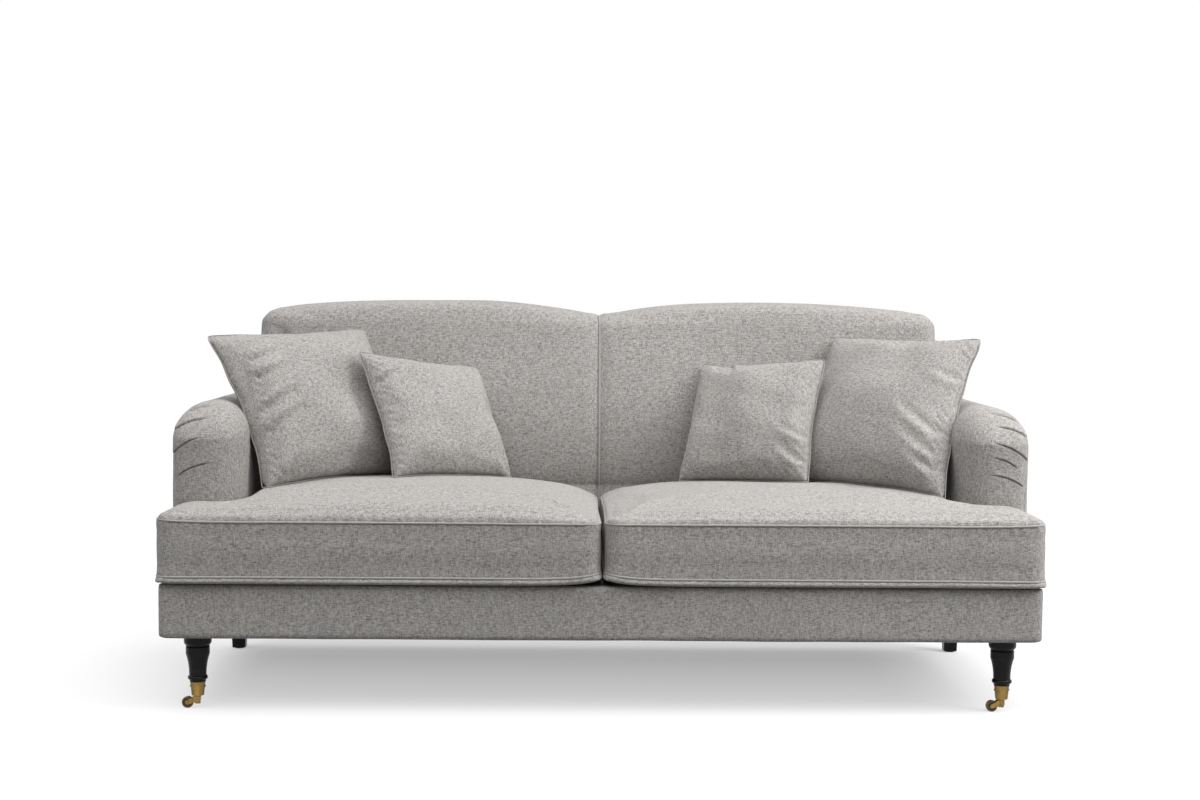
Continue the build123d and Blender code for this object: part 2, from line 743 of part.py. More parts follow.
def zip_plane():
    """Plane on the rear boxing, halfway up, with its Z pointing out of the cushion."""
    height = (piping_low + piping_high) / 2
    place = ((seat_inside + seat_arm_side) / 2, seat_rear(height, 0), height)
    angle = math.radians(BACK_RAKE)
    return Plane(place, x_dir=(1, 0, 0), z_dir=(0, math.cos(angle), -math.sin(angle)))


def seat_zip():
    """Zip tape with its raised chain, and the slider at one end of it."""
    tape_top = -ZIP_CHAIN_HEIGHT
    tape = Pos(0, 0, tape_top - ZIP_THICKNESS / 2) * Box(ZIP_LENGTH, ZIP_WIDTH, ZIP_THICKNESS)
    chain = Pos(0, 0, -ZIP_CHAIN_HEIGHT / 2) * Box(ZIP_LENGTH, ZIP_CHAIN_WIDTH, ZIP_CHAIN_HEIGHT)
    length, width, height = ZIP_SLIDER
    body = Pos(0, 0, FIT_GAP + height / 2) * Box(length, width, height)
    pull_width, pull_length, pull_height = ZIP_PULL
    pull_middle = (0, -pull_length / 2, FIT_GAP + height + pull_height / 2)
    pull = Pos(*pull_middle) * Box(pull_width, pull_length, pull_height)
    slider = Pos(ZIP_LENGTH / 2 - length, 0, 0) * (body + pull)
    return zip_plane() * (tape + chain), zip_plane() * slider


def seat_pieces():
    """The right seat cushion: cover, foam core, piping, zip and slider."""
    cover = seat_form(0) - seat_form(COVER_THICKNESS)
    slot_depth = COVER_THICKNESS + ZIP_THICKNESS
    slot = Box(ZIP_LENGTH + 2 * SEWN_GAP, ZIP_WIDTH + 2 * SEWN_GAP, 2 * slot_depth)
    tape, slider = seat_zip()
    return {
        "seat_cover": cover - zip_plane() * slot,
        "seat_core": seat_form(COVER_THICKNESS + SEWN_GAP),
        "seat_piping": group([seat_piping(z) for z in (piping_low, piping_high)]),
        "seat_zip": tape,
        "zip_slider": slider,
    }


def arc_height(arc, place):
    """Height of an arc of three points at a place along it."""
    (ax, az), (bx, bz), (cx, cz) = arc
    double = 2 * (ax * (bz - cz) + bx * (cz - az) + cx * (az - bz))
    a_square, b_square, c_square = ax * ax + az * az, bx * bx + bz * bz, cx * cx + cz * cz
    middle_x = (a_square * (bz - cz) + b_square * (cz - az) + c_square * (az - bz)) / double
    middle_z = (a_square * (cx - bx) + b_square * (ax - cx) + c_square * (bx - ax)) / double
    radius = math.hypot(ax - middle_x, az - middle_z)
    lift = math.sqrt(max(radius * radius - (place - middle_x) ** 2, 0))
    return middle_z + math.copysign(lift, bz - middle_z)


def arcs_height(arcs, place):
    """Height of a row of arcs at a place, held level past both ends."""
    place = min(max(place, arcs[0][0][0]), arcs[-1][2][0])
    for arc in arcs:
        if place <= arc[2][0]:
            return arc_height(arc, place)


# Scatter cushions


def cushion_level(size, depth):
    """Half size, draw and half thickness of a scatter cushion at a depth from its seam, 0 to 3."""
    index = min(int(depth), len(CUSHION_LEVELS) - 2)
    share = depth - index
    half, thick = size[0] / 2, size[1] / 2
    low, high = CUSHION_LEVELS[index], CUSHION_LEVELS[index + 1]
    rise, inset, draw = (a + (b - a) * share for a, b in zip(low, high))
    return half * (1 - inset), half * draw, thick * rise


def cushion_section(half, draw, z):
    """A square with its sides drawn in, or swollen where draw is negative."""
    corners = [(-half, -half), (half, -half), (half, half), (-half, half)]
    middles = [(0, draw - half), (half - draw, 0), (0, half - draw), (draw - half, 0)]
    arcs = []
    for index in range(4):
        after = corners[(index + 1) % 4]
        arcs.append(ThreePointArc((*corners[index], z), (*middles[index], z), (*after, z)))
    return make_face(arcs)


def cushion_form(size, inset):
    """A knife-edged square cushion lying flat about the origin."""
    smaller = (size[0] - 2 * inset, size[1] - 2 * inset)
    levels = [cushion_level(smaller, depth) for depth in range(len(CUSHION_LEVELS))]
    lower = [cushion_section(half, draw, -z) for half, draw, z in reversed(levels[1:])]
    upper = [cushion_section(half, draw, z) for half, draw, z in levels]
    return loft([*lower, *upper], ruled=True)


def cushion_points(size):
    """Points all over a flat cushion, for finding where it rests."""
    points = []
    for step in range(POINT_RINGS * (len(CUSHION_LEVELS) - 1) + 1):
        half, draw, z = cushion_level(size, step / POINT_RINGS)
        for index in range(POINT_COUNT):
            along = -1 + 2 * index / (POINT_COUNT - 1)
            x = along * half
            y = half - draw * (1 - along * along)
            for flat in ((x, y), (x, -y), (y, x), (-y, x)):
                points.append((*flat, z))
                points.append((*flat, -z))
    return points


def cushion_depth(size, x, y):
    """Half thickness of a flat cushion at a place, or None outside its seam."""
    far, near = max(abs(x), abs(y)), min(abs(x), abs(y))
    low, high = 0.0, float(len(CUSHION_LEVELS) - 1)
    if far > edge_reach(size, low, near):
        return None
    for _ in range(20):
        middle = (low + high) / 2
        if far > edge_reach(size, middle, near):
            high = middle
        else:
            low = middle
    return cushion_level(size, low)[2]


def edge_reach(size, depth, near):
    half, draw, _ = cushion_level(size, depth)
    return half - draw * (1 - min(near / half, 1) ** 2)


def cushion_turn(side, turn):
    """A cushion stood up with its face to the front, leant back and turned towards the middle."""
    yaw, lean, roll = turn
    return Rot(Z=-side * yaw) * Rot(X=-lean) * Rot(X=90) * Rot(Z=-side * roll)


def seat_travel(point):
    """How far a point may go down to the seat."""
    across = arcs_height(seat_front_top, abs(point[0]))
    return point[2] - min(across, arcs_height(seat_side_top, point[1])) - CUSHION_GAP


def back_travel(point):
    """How far a point may go straight back to the back's face."""
    return back_face(point[2]) - point[1] - CUSHION_GAP / math.cos(math.radians(BACK_RAKE))


def arm_travel(point):
    """How far a point may go sideways to the arm, past it if it is above the arm."""
    across = abs(point[0])
    rise = point[2] - arm_axis[1]
    radius = arm_radius + CUSHION_GAP
    if rise <= 0:
        return arm_inside - CUSHION_GAP - across
    if rise >= radius:
        return OVERALL_WIDTH
    return arm_axis[0] - math.sqrt(radius * radius - rise * rise) - across


def turned(points, turn):
    frame = Plane(turn)
    axes = [tuple(axis) for axis in (frame.x_dir, frame.y_dir, frame.z_dir)]
    return [tuple(sum(p * axis[k] for p, axis in zip(point, axes)) for k in range(3)) for point in points]


def rest(points, place, moves):
    """The place where a turned cushion comes to rest after sliding up to each obstacle in turn."""
    for _ in range(REST_ROUNDS):
        for step, travel in moves:
            here = [tuple(p + q for p, q in zip(point, place)) for point in points]
            way = min(travel(point) for point in here)
            place = tuple(p + s * way for p, s in zip(place, step))
    return place


def rest_large(side, word):
    """A large cushion in the corner of seat, back and arm."""
    turn = cushion_turn(side, LARGE_CUSHION_TURN[word])
    points = turned(cushion_points(LARGE_CUSHION), turn)
    start = (side * (arm_inside - LARGE_CUSHION[0] / 2), 0, ARM_HEIGHT)
    moves = (((0, 0, -1), seat_travel), ((0, 1, 0), back_travel), ((side, 0, 0), arm_travel))
    return Pos(*rest(points, start, moves)) * turn


def rest_small(side, word, large):
    """A small cushion on the seat, against the back or the large cushion beside it."""
    turn = cushion_turn(side, SMALL_CUSHION_TURN[word])
    points = turned(cushion_points(SMALL_CUSHION), turn)
    frame = Plane(large)
    axes = [tuple(axis) for axis in (frame.x_dir, frame.y_dir, frame.z_dir)]
    middle = tuple(frame.origin)

    def behind_travel(point):
        offset = [p - m for p, m in zip(point, middle)]
        x, y, z = (sum(o * a for o, a in zip(offset, axis)) for axis in axes)
        depth = cushion_depth(LARGE_CUSHION, x, y)
        if depth is None:
            return back_travel(point)
        return min(back_travel(point), (z - depth - CUSHION_GAP) / -axes[2][1])

    reach = LEFT_SMALL_CUSHION_REACH if side < 0 else RIGHT_SMALL_CUSHION_REACH
    start = (side * (arm_inside - reach), 0, ARM_HEIGHT)
    moves = (((0, 0, -1), seat_travel), ((0, 1, 0), behind_travel))
    return Pos(*rest(points, start, moves)) * turn


def scatter_cushions():
    """Cover and fill of each scatter cushion, where it rests."""
    pieces = {}
    places = {}
    for side, word in ((-1, "left"), (1, "right")):
        places[word, "large"] = rest_large(side, word)
        places[word, "small"] = rest_small(side, word, places[word, "large"])
    for kind, size in (("large", LARGE_CUSHION), ("small", SMALL_CUSHION)):
        cover = cushion_form(size, 0) - cushion_form(size, CUSHION_COVER)
        fill = cushion_form(size, CUSHION_COVER + SEWN_GAP)
        for word in ("left", "right"):
            pieces[f"{word}_{kind}_cushion_cover"] = places[word, kind] * cover
            pieces[f"{word}_{kind}_cushion_fill"] = places[word, kind] * fill
    return pieces


# Legs and castors


def cup_radius(z):
    """Outer radius of the castor cup at a height."""
    return CUP_FOOT_RADIUS + (CUP_TOP_RADIUS - CUP_FOOT_RADIUS) * (z - CASTOR_HEIGHT) / CUP_HEIGHT


def cup_screw_line(side):
    """Head seat and tip of a cup screw on one side, seen from the leg's axis."""
    z = CASTOR_HEIGHT + CUP_SCREW_HEIGHT
    seat = cup_radius(z + CUP_SCREW_HEAD[0]) + FIT_GAP
    return (side * seat, 0, z), (side * (seat - CUP_SCREW_LENGTH), 0, z)


def turned_leg():
    """A turned front leg on the Z axis: flange, collar, hollowed shaft, bead, neck and tenon."""
    flange_low = base_bottom - LEG_FLANGE_HEIGHT
    collar_top = base_bottom - LEG_COLLAR_TOP
    collar_low = collar_top - LEG_COLLAR_HEIGHT
    neck_top = cup_top + LEG_NECK_HEIGHT
    bead_top = neck_top + LEG_BEAD_HEIGHT
    tenon_low = cup_floor_top + FIT_GAP
    tenon_foot = (cup_radius(tenon_low) - CUP_WALL - FIT_GAP, tenon_low)
    tenon_top = (cup_radius(cup_top) - CUP_WALL - FIT_GAP, cup_top)
    neck_foot = (LEG_NECK_RADIUS, cup_top)
    neck = (LEG_NECK_RADIUS, neck_top)
    ankle = (LEG_ANKLE_RADIUS, bead_top)
    collar_foot = (LEG_COLLAR_RADIUS, collar_low)
    shaft_middle = ((ankle[0] + collar_foot[0]) / 2 - LEG_WAIST, (bead_top + collar_low) / 2)
    groove_low = (LEG_COLLAR_RADIUS, collar_top - 3 * LEG_GROOVE)
    groove = (LEG_COLLAR_RADIUS - LEG_GROOVE, collar_top - 2 * LEG_GROOVE)
    groove_high = (LEG_COLLAR_RADIUS, collar_top - LEG_GROOVE)
    collar_head = (LEG_COLLAR_RADIUS, collar_top)
    flange_foot = (LEG_FLANGE_RADIUS, flange_low)
    flange_head = (LEG_FLANGE_RADIUS, base_bottom)
    half = outline(
        ((0, tenon_low), tenon_foot),
        (tenon_foot, tenon_top),
        (tenon_top, neck_foot),
        (neck_foot, neck),
        (neck, (LEG_BEAD_RADIUS, (neck_top + bead_top) / 2), ankle),
        (ankle, shaft_middle, collar_foot),
        (collar_foot, groove_low),
        (groove_low, groove),
        (groove, groove_high),
        (groove_high, collar_head),
        bulged(collar_head, flange_foot, -LEG_GROOVE),
        (flange_foot, flange_head),
        (flange_head, (0, base_bottom)),
        ((0, base_bottom), (0, tenon_low)),
    )
    leg = revolve(Plane.XZ * half, axis=Axis.Z)
    bolt_low = base_bottom - LEG_BOLT_DEPTH - FIT_GAP
    leg = leg - rod((0, 0, bolt_low), (0, 0, base_bottom + CUT_PAST), LEG_BOLT_RADIUS + FIT_GAP)
    rivet_top = cup_floor_top + RIVET_HEAD[1] + RIVET_ROOM
    leg = leg - rod((0, 0, tenon_low - CUT_PAST), (0, 0, rivet_top), RIVET_HEAD[0] + RIVET_ROOM)
    return drilled(leg, [cup_screw_line(-1), cup_screw_line(1)], CUP_SCREW_RADIUS + FIT_GAP, FIT_GAP)


def castor_cup():
    bore = STEM_RADIUS + RUNNING_GAP
    half = polygon(
        (bore, CASTOR_HEIGHT),
        (CUP_FOOT_RADIUS, CASTOR_HEIGHT),
        (CUP_TOP_RADIUS, cup_top),
        (CUP_TOP_RADIUS - CUP_WALL, cup_top),
        (cup_radius(cup_floor_top) - CUP_WALL, cup_floor_top),
        (bore, cup_floor_top),
    )
    cup = revolve(Plane.XZ * half, axis=Axis.Z)
    return drilled(cup, [cup_screw_line(-1), cup_screw_line(1)], CUP_SCREW_RADIUS + FIT_GAP, FIT_GAP)


def cup_screw(side):
    seat, tip = cup_screw_line(side)
    head_end = (seat[0] + side * CUP_SCREW_HEAD[1], 0, seat[2])
    return rod(seat, tip, CUP_SCREW_RADIUS) + rod(seat, head_end, CUP_SCREW_HEAD[0])


def castor_fork():
    """Boss, crown and two cheeks, with the riveted stem that turns in the cup."""
    boss_top = CASTOR_HEIGHT - RUNNING_GAP
    stem_top = cup_floor_top + RUNNING_GAP
    cheek_in = WHEEL_WIDTH / 2 + WHEEL_SIDE_GAP
    cheek_out = cheek_in + CHEEK_THICKNESS
    crown_top = CASTOR_HEIGHT - CROWN_DROP
    fork = rod((0, 0, BOSS_BOTTOM), (0, 0, boss_top), BOSS_RADIUS)
    fork += block((-CROWN_REACH, BOSS_RADIUS), (-cheek_out, cheek_out), (CROWN_BOTTOM, crown_top))
    arm = polygon(
        (-CASTOR_TRAIL, WHEEL_RADIUS - CHEEK_EYE_RADIUS),
        (BOSS_RADIUS, CROWN_BOTTOM),
        (BOSS_RADIUS, crown_top),
        (-CROWN_REACH, crown_top),
        (-CASTOR_TRAIL, WHEEL_RADIUS + CHEEK_EYE_RADIUS),
    )
    cheek = arm + Pos(-CASTOR_TRAIL, WHEEL_RADIUS) * Circle(CHEEK_EYE_RADIUS)
    for y_range in ((-cheek_out, -cheek_in), (cheek_in, cheek_out)):
        fork += along_y(cheek, y_range)
    fork += rod((0, 0, boss_top - CUT_PAST), (0, 0, stem_top), STEM_RADIUS)
    fork += rod((0, 0, stem_top), (0, 0, stem_top + RIVET_HEAD[1]), RIVET_HEAD[0])
    past = cheek_out + CUT_PAST
    ends = [(-CASTOR_TRAIL, y, WHEEL_RADIUS) for y in (-past, past)]
    hole = rod(*ends, AXLE_RADIUS + FIT_GAP)
    return fork - hole


def castor_wheel():
    """A dished wheel on its axle line."""
    side = WHEEL_WIDTH / 2
    bore = AXLE_RADIUS + RUNNING_GAP
    rim = WHEEL_RADIUS - WHEEL_RIM
    outer = [(bore, side), (WHEEL_HUB, side), (WHEEL_HUB, side - WHEEL_RECESS), (rim, side - WHEEL_RECESS),
             (rim, side), (WHEEL_RADIUS - WHEEL_ROUND, side), (WHEEL_RADIUS, side - WHEEL_ROUND)]
    half = polygon(*outer, *[(radius, -width) for radius, width in reversed(outer)])
    wheel = revolve(Plane.XZ * half, axis=Axis.Z)
    return Pos(-CASTOR_TRAIL, 0, WHEEL_RADIUS) * Rot(X=90) * wheel


def castor_axle():
    end = WHEEL_WIDTH / 2 + WHEEL_SIDE_GAP + CHEEK_THICKNESS
    radius, height = AXLE_HEAD
    middle = (-CASTOR_TRAIL, WHEEL_RADIUS)
    axle = rod((middle[0], -end, middle[1]), (middle[0], end, middle[1]), AXLE_RADIUS)
    for side in (-1, 1):
        head_end = side * (end + height)
        axle += rod((middle[0], side * end, middle[1]), (middle[0], head_end, middle[1]), radius)
    return axle


def front_feet():
    """Leg, cup, fork, wheel and axle on each side; both castors trail to the left."""
    pieces = {}
    screws = []
    for side, word in ((-1, "left"), (1, "right")):
        place = Pos(side * front_leg[0], front_leg[1], 0)
        pieces[f"{word}_front_leg"] = place * turned_leg()
        pieces[f"{word}_castor_cup"] = place * castor_cup()
        pieces[f"{word}_castor_fork"] = place * castor_fork()
        pieces[f"{word}_castor_wheel"] = place * castor_wheel()
        pieces[f"{word}_castor_axle"] = place * castor_axle()
        screws += [place * cup_screw(-1), place * cup_screw(1)]
    pieces["cup_screws"] = group(screws)
    return pieces


def rear_feet():
    """Tapered square rear legs with the glides pressed into their feet."""
    foot = Pos(0, 0, GLIDE_HEIGHT) * RectangleRounded(REAR_LEG_FOOT, REAR_LEG_FOOT, REAR_LEG_ROUND)
    head = Pos(0, 0, base_bottom) * RectangleRounded(REAR_LEG_TOP, REAR_LEG_TOP, REAR_LEG_ROUND)
    leg = loft([foot, head])
    bolt_low = base_bottom - LEG_BOLT_DEPTH - FIT_GAP
    leg = leg - rod((0, 0, bolt_low), (0, 0, base_bottom + CUT_PAST), LEG_BOLT_RADIUS + FIT_GAP)
    pin_radius, pin_length = GLIDE_PIN
    pin_top = GLIDE_HEIGHT + pin_length
    leg = leg - rod((0, 0, GLIDE_HEIGHT - CUT_PAST), (0, 0, pin_top + FIT_GAP), pin_radius + FIT_GAP)
    glide = rod((0, 0, 0), (0, 0, GLIDE_HEIGHT), GLIDE_RADIUS)
    glide += rod((0, 0, 0), (0, 0, pin_top), pin_radius)
    place = Pos(*rear_leg, 0)
    right = place * leg
    return {
        "right_rear_leg": right,
        "left_rear_leg": other_side(right),
        "rear_leg_glides": both_sides(place * glide),
    }


# Whole sofa


def sofa():
    nodes = {
        "front_border": front_border(),
        "outer_back_panel": outer_back_panel(),
        "dust_cover": dust_cover(),
        "seat_deck": seat_deck(),
        "back_piping": back_piping(),
        "back_webbing": back_webbing(),
    }
    nodes.update(frame_pieces())
    nodes.update(leg_fixings())
    nodes.update(spring_pieces())
    sided = {"outer_side_panel": outer_side_panel(), "arm_pad": arm_pad(), "back_pad": back_pad()}
    sided.update(seat_pieces())
    for name, shape in sided.items():
        nodes[f"right_{name}"] = shape
        nodes[f"left_{name}"] = other_side(shape)
    nodes.update(scatter_cushions())
    nodes.update(front_feet())
    nodes.update(rear_feet())
    return nodes


seat_side_top = seat_side_arcs(0)
seat_front_top = seat_front_arcs(0)
os.makedirs("parts", exist_ok=True)
for name, shape in sofa().items():
    shape.label = name
    export_step(shape, f"parts/{name}.step")
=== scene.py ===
"""Looks of a roll-arm sofa with two T-shaped seat cushions and four scatter cushions, in metres."""

import json
import math

import bmesh
import bpy
import numpy as np
from mathutils import Matrix, Vector
from mathutils.bvhtree import BVHTree
from mathutils.kdtree import KDTree


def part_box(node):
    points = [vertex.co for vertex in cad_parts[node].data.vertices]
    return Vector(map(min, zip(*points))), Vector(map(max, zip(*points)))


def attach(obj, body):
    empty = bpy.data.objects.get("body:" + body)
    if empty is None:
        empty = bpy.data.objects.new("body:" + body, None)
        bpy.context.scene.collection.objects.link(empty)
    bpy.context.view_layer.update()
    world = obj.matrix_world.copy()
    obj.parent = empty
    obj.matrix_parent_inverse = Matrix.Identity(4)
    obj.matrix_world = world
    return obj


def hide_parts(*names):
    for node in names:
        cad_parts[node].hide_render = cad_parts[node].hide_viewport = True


bl_info = {
    "name": "Roll-arm sofa",
    "version": (1, 0, 0),
    "blender": (4, 5, 0),
    "location": "3D View > Sidebar > Sofa",
    "description": "Upholsters the packed frame of a roll-arm sofa and sets its studio",
    "category": "Object",
}

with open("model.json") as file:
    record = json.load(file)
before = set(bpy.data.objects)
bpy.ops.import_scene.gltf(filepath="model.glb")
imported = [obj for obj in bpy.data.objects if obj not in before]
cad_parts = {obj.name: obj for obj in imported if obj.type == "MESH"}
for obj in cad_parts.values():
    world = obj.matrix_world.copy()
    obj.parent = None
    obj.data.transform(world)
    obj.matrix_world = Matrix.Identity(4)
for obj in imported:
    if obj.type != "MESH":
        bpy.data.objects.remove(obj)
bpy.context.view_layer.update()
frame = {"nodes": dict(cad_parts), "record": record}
nodes = frame["nodes"]

SIDES = (("left", -1), ("right", 1))
MM = 0.001
PIPING_RADIUS = 0.0026
SEED = 7


# Settings that a user would change


class SofaFabric(bpy.types.PropertyGroup):
    dark_yarn: bpy.props.FloatVectorProperty(
        name="Dark yarn", description="Darkest fibres of the heathered cloth",
        subtype="COLOR", size=3, min=0, max=1, default=(0.178, 0.170, 0.163))
    light_yarn: bpy.props.FloatVectorProperty(
        name="Light yarn", description="Lightest fibres of the heathered cloth",
        subtype="COLOR", size=3, min=0, max=1, default=(0.550, 0.531, 0.515))
    warm_yarn: bpy.props.FloatVectorProperty(
        name="Warm yarn", description="Beige fibres spun in with the grey",
        subtype="COLOR", size=3, min=0, max=1, default=(0.47, 0.42, 0.37))
    weave_pitch: bpy.props.FloatProperty(
        name="Weave pitch", description="Distance between neighbouring yarns",
        unit="LENGTH", min=0.0005, max=0.01, default=0.0022)
    sheen: bpy.props.FloatProperty(
        name="Sheen", description="Soft glow of the loose fibres",
        subtype="FACTOR", min=0, max=1, default=0.12)


class SofaFinishes(bpy.types.PropertyGroup):
    lacquer: bpy.props.FloatVectorProperty(
        name="Lacquer", description="Black lacquer of the legs",
        subtype="COLOR", size=3, min=0, max=1, default=(0.006, 0.006, 0.0065))
    brass: bpy.props.FloatVectorProperty(
        name="Brass", description="Castors and their cups",
        subtype="COLOR", size=3, min=0, max=1, default=(0.36, 0.23, 0.075))
    hardwood: bpy.props.FloatVectorProperty(
        name="Hardwood", description="Bare timber of the frame",
        subtype="COLOR", size=3, min=0, max=1, default=(0.52, 0.36, 0.21))
    steel: bpy.props.FloatVectorProperty(
        name="Spring steel", description="Springs, clips, plates and bolts",
        subtype="COLOR", size=3, min=0, max=1, default=(0.30, 0.30, 0.31))


class SofaSoftness(bpy.types.PropertyGroup):
    pressure: bpy.props.FloatProperty(
        name="Pressure", description="Stuffing pressure in the cloth simulation",
        min=0, max=20, default=4)
    seat_swell: bpy.props.FloatProperty(
        name="Seat swell", description="Most that a seat cushion swells",
        unit="LENGTH", min=0, max=0.03, default=0.005)
    back_swell: bpy.props.FloatProperty(
        name="Back swell", description="Most that the back swells",
        unit="LENGTH", min=0, max=0.03, default=0.004)
    scatter_swell: bpy.props.FloatProperty(
        name="Scatter swell", description="Most that a scatter cushion swells",
        unit="LENGTH", min=0, max=0.05, default=0.009)
    pucker: bpy.props.FloatProperty(
        name="Seam pucker", description="Height of the small gathers beside a piped seam",
        unit="LENGTH", min=0, max=0.005, default=0.0009)
    plump: bpy.props.FloatProperty(
        name="Plump edge", description="Fullness of the seat cushions' tops just inside their seams",
        unit="LENGTH", min=0, max=0.02, default=0.004)
    lip: bpy.props.FloatProperty(
        name="Lip", description="How far the seat cushions' undersides roll out under the lower seam",
        unit="LENGTH", min=0, max=0.02, default=0.0075)
    back_bulge: bpy.props.FloatProperty(
        name="Back bulge", description="How far the middle of the back stands forward",
        unit="LENGTH", min=0, max=0.06, default=0.038)
    sag: bpy.props.FloatProperty(
        name="Sag",
        description="How far the stuffing of the scatter cushions bellies out low on their fronts",
        unit="LENGTH", min=0, max=0.05, default=0.020)
    pleat: bpy.props.FloatProperty(
        name="Pleat", description="Height of the pleats on the arm fronts",
        unit="LENGTH", min=0, max=0.01, default=0.0042)
    crease: bpy.props.FloatProperty(
        name="Crease", description="Depth of the scatter cushions' creases",
        unit="LENGTH", min=0, max=0.02, default=0.0068)


class SofaStage(bpy.types.PropertyGroup):
    camera_place: bpy.props.FloatVectorProperty(
        name="Camera place", description="Where the camera stands",
        subtype="XYZ", unit="LENGTH", size=3, default=(-0.088832, -4.516648, 0.910027))
    camera_turn: bpy.props.FloatVectorProperty(
        name="Camera turn", description="Yaw to the right, pitch down and roll of the camera",
        subtype="EULER", unit="ROTATION", size=3,
        default=(math.radians(1.102), math.radians(3.058), math.radians(0.512)))
    lens: bpy.props.FloatProperty(
        name="Lens", description="Focal length on a 36 mm wide sensor",
        unit="CAMERA", min=10, max=300, default=56.938)
    key: bpy.props.FloatProperty(
        name="Key light", description="Strength of the large overhead light",
        min=0, max=20, default=3.35)
    fill: bpy.props.FloatProperty(
        name="Front fill", description="Strength of the soft light from the front",
        min=0, max=20, default=0.06)
    side: bpy.props.FloatProperty(
        name="Right light", description="Power of the soft box off the right end",
        min=0, max=200, default=70)
    far_side: bpy.props.FloatProperty(
        name="Left light", description="Power of the soft box off the left end",
        min=0, max=200, default=8)
    sky: bpy.props.FloatProperty(
        name="Room light", description="Strength of the even light from all round",
        min=0, max=2, default=0.08)
    floor: bpy.props.FloatVectorProperty(
        name="Floor", description="Colour of the pale floor",
        subtype="COLOR", size=3, min=0, max=1, default=(0.94, 0.94, 0.94))
    floor_glow: bpy.props.FloatProperty(
        name="Floor glow", description="Share of plain white in the floor, which lightens the shadow",
        subtype="FACTOR", min=0, max=1, default=0.40)
    # Painted light that lifts the floor's shadow more under the sofa's front
    floor_glow_front: bpy.props.FloatProperty(
        name="Floor glow in front", description="Share of plain white in the floor under the sofa's front",
        subtype="FACTOR", min=0, max=1, default=0.66)
    floor_bounce: bpy.props.FloatProperty(
        name="Floor bounce", description="Share of its light that the floor throws back on the sofa",
        subtype="FACTOR", min=0, max=1, default=0.25)


# Shader helpers


def feed(node, inputs):
    """Sets a node's inputs, by name or number, or links them to other nodes' sockets."""
    for key, value in inputs.items():
        if isinstance(value, bpy.types.NodeSocket):
            node.id_data.links.new(value, node.inputs[key])
        else:
            node.inputs[key].default_value = value


def put(tree, kind, inputs=None, **settings):
    """A new node with its settings and its inputs."""
    node = tree.nodes.new(kind)
    for name, value in settings.items():
        setattr(node, name, value)
    feed(node, inputs or {})
    return node


def rgba(colour, share=1.0):
    """A colour made darker or lighter by a share, with full alpha."""
    return (*(share * part for part in colour), 1.0)


def maths(tree, operation, first, second=0.0):
    return put(tree, "ShaderNodeMath", {0: first, 1: second}, operation=operation).outputs[0]


def vector_maths(tree, operation, first, second=(0, 0, 0), output="Vector"):
    node = put(tree, "ShaderNodeVectorMath", {0: first, 1: second}, operation=operation)
    return node.outputs[output]


def ranged(tree, value, low, high, to_low=0.0, to_high=1.0):
    inputs = {"Value": value, "From Min": low, "From Max": high, "To Min": to_low, "To Max": to_high}
    return put(tree, "ShaderNodeMapRange", inputs).outputs["Result"]


def mixed(tree, share, first, second):
    inputs = {"Factor": share, 6: first, 7: second}
    return put(tree, "ShaderNodeMix", inputs, data_type="RGBA").outputs[2]


def noise(tree, vector, scale, detail=2.0, roughness=0.5):
    inputs = {"Vector": vector, "Scale": scale, "Detail": detail, "Roughness": roughness}
    return put(tree, "ShaderNodeTexNoise", inputs).outputs["Fac"]


def rays_seen(tree):
    """1 for rays that show the background itself, straight or in gloss and glass."""
    rays = put(tree, "ShaderNodeLightPath")
    seen = maths(tree, "MAXIMUM", rays.outputs["Is Camera Ray"], rays.outputs["Is Glossy Ray"])
    return maths(tree, "MAXIMUM", seen, rays.outputs["Is Transmission Ray"])


def object_place(tree):
    return put(tree, "ShaderNodeTexCoord").outputs["Object"]


def new_group(name, inputs, outputs):
    """An empty shader node group with named sockets."""
    tree = bpy.data.node_groups.new(name, "ShaderNodeTree")
    for label, kind, default in inputs:
        socket = tree.interface.new_socket(name=label, in_out="INPUT", socket_type=kind)
        socket.default_value = default
    for label, kind in outputs:
        tree.interface.new_socket(name=label, in_out="OUTPUT", socket_type=kind)
    return tree, put(tree, "NodeGroupInput"), put(tree, "NodeGroupOutput")


def new_material(name):
    material = bpy.data.materials.new(name)
    material.use_nodes = True
    tree = material.node_tree
    return material, tree, tree.nodes["Principled BSDF"]


def set_sockets(shader, **inputs):
    """Feeds a shader by its sockets' names, with underscores for their spaces."""
    feed(shader, {name.replace("_", " "): value for name, value in inputs.items()})


def bumped(tree, height, distance, strength):
    """Normals of a surface that carries a height."""
    inputs = {"Height": height, "Distance": distance, "Strength": strength}
    return put(tree, "ShaderNodeBump", inputs).outputs["Normal"]


def group_node(tree, group, **inputs):
    return put(tree, "ShaderNodeGroup", inputs, node_tree=group)


# Shared surface effects


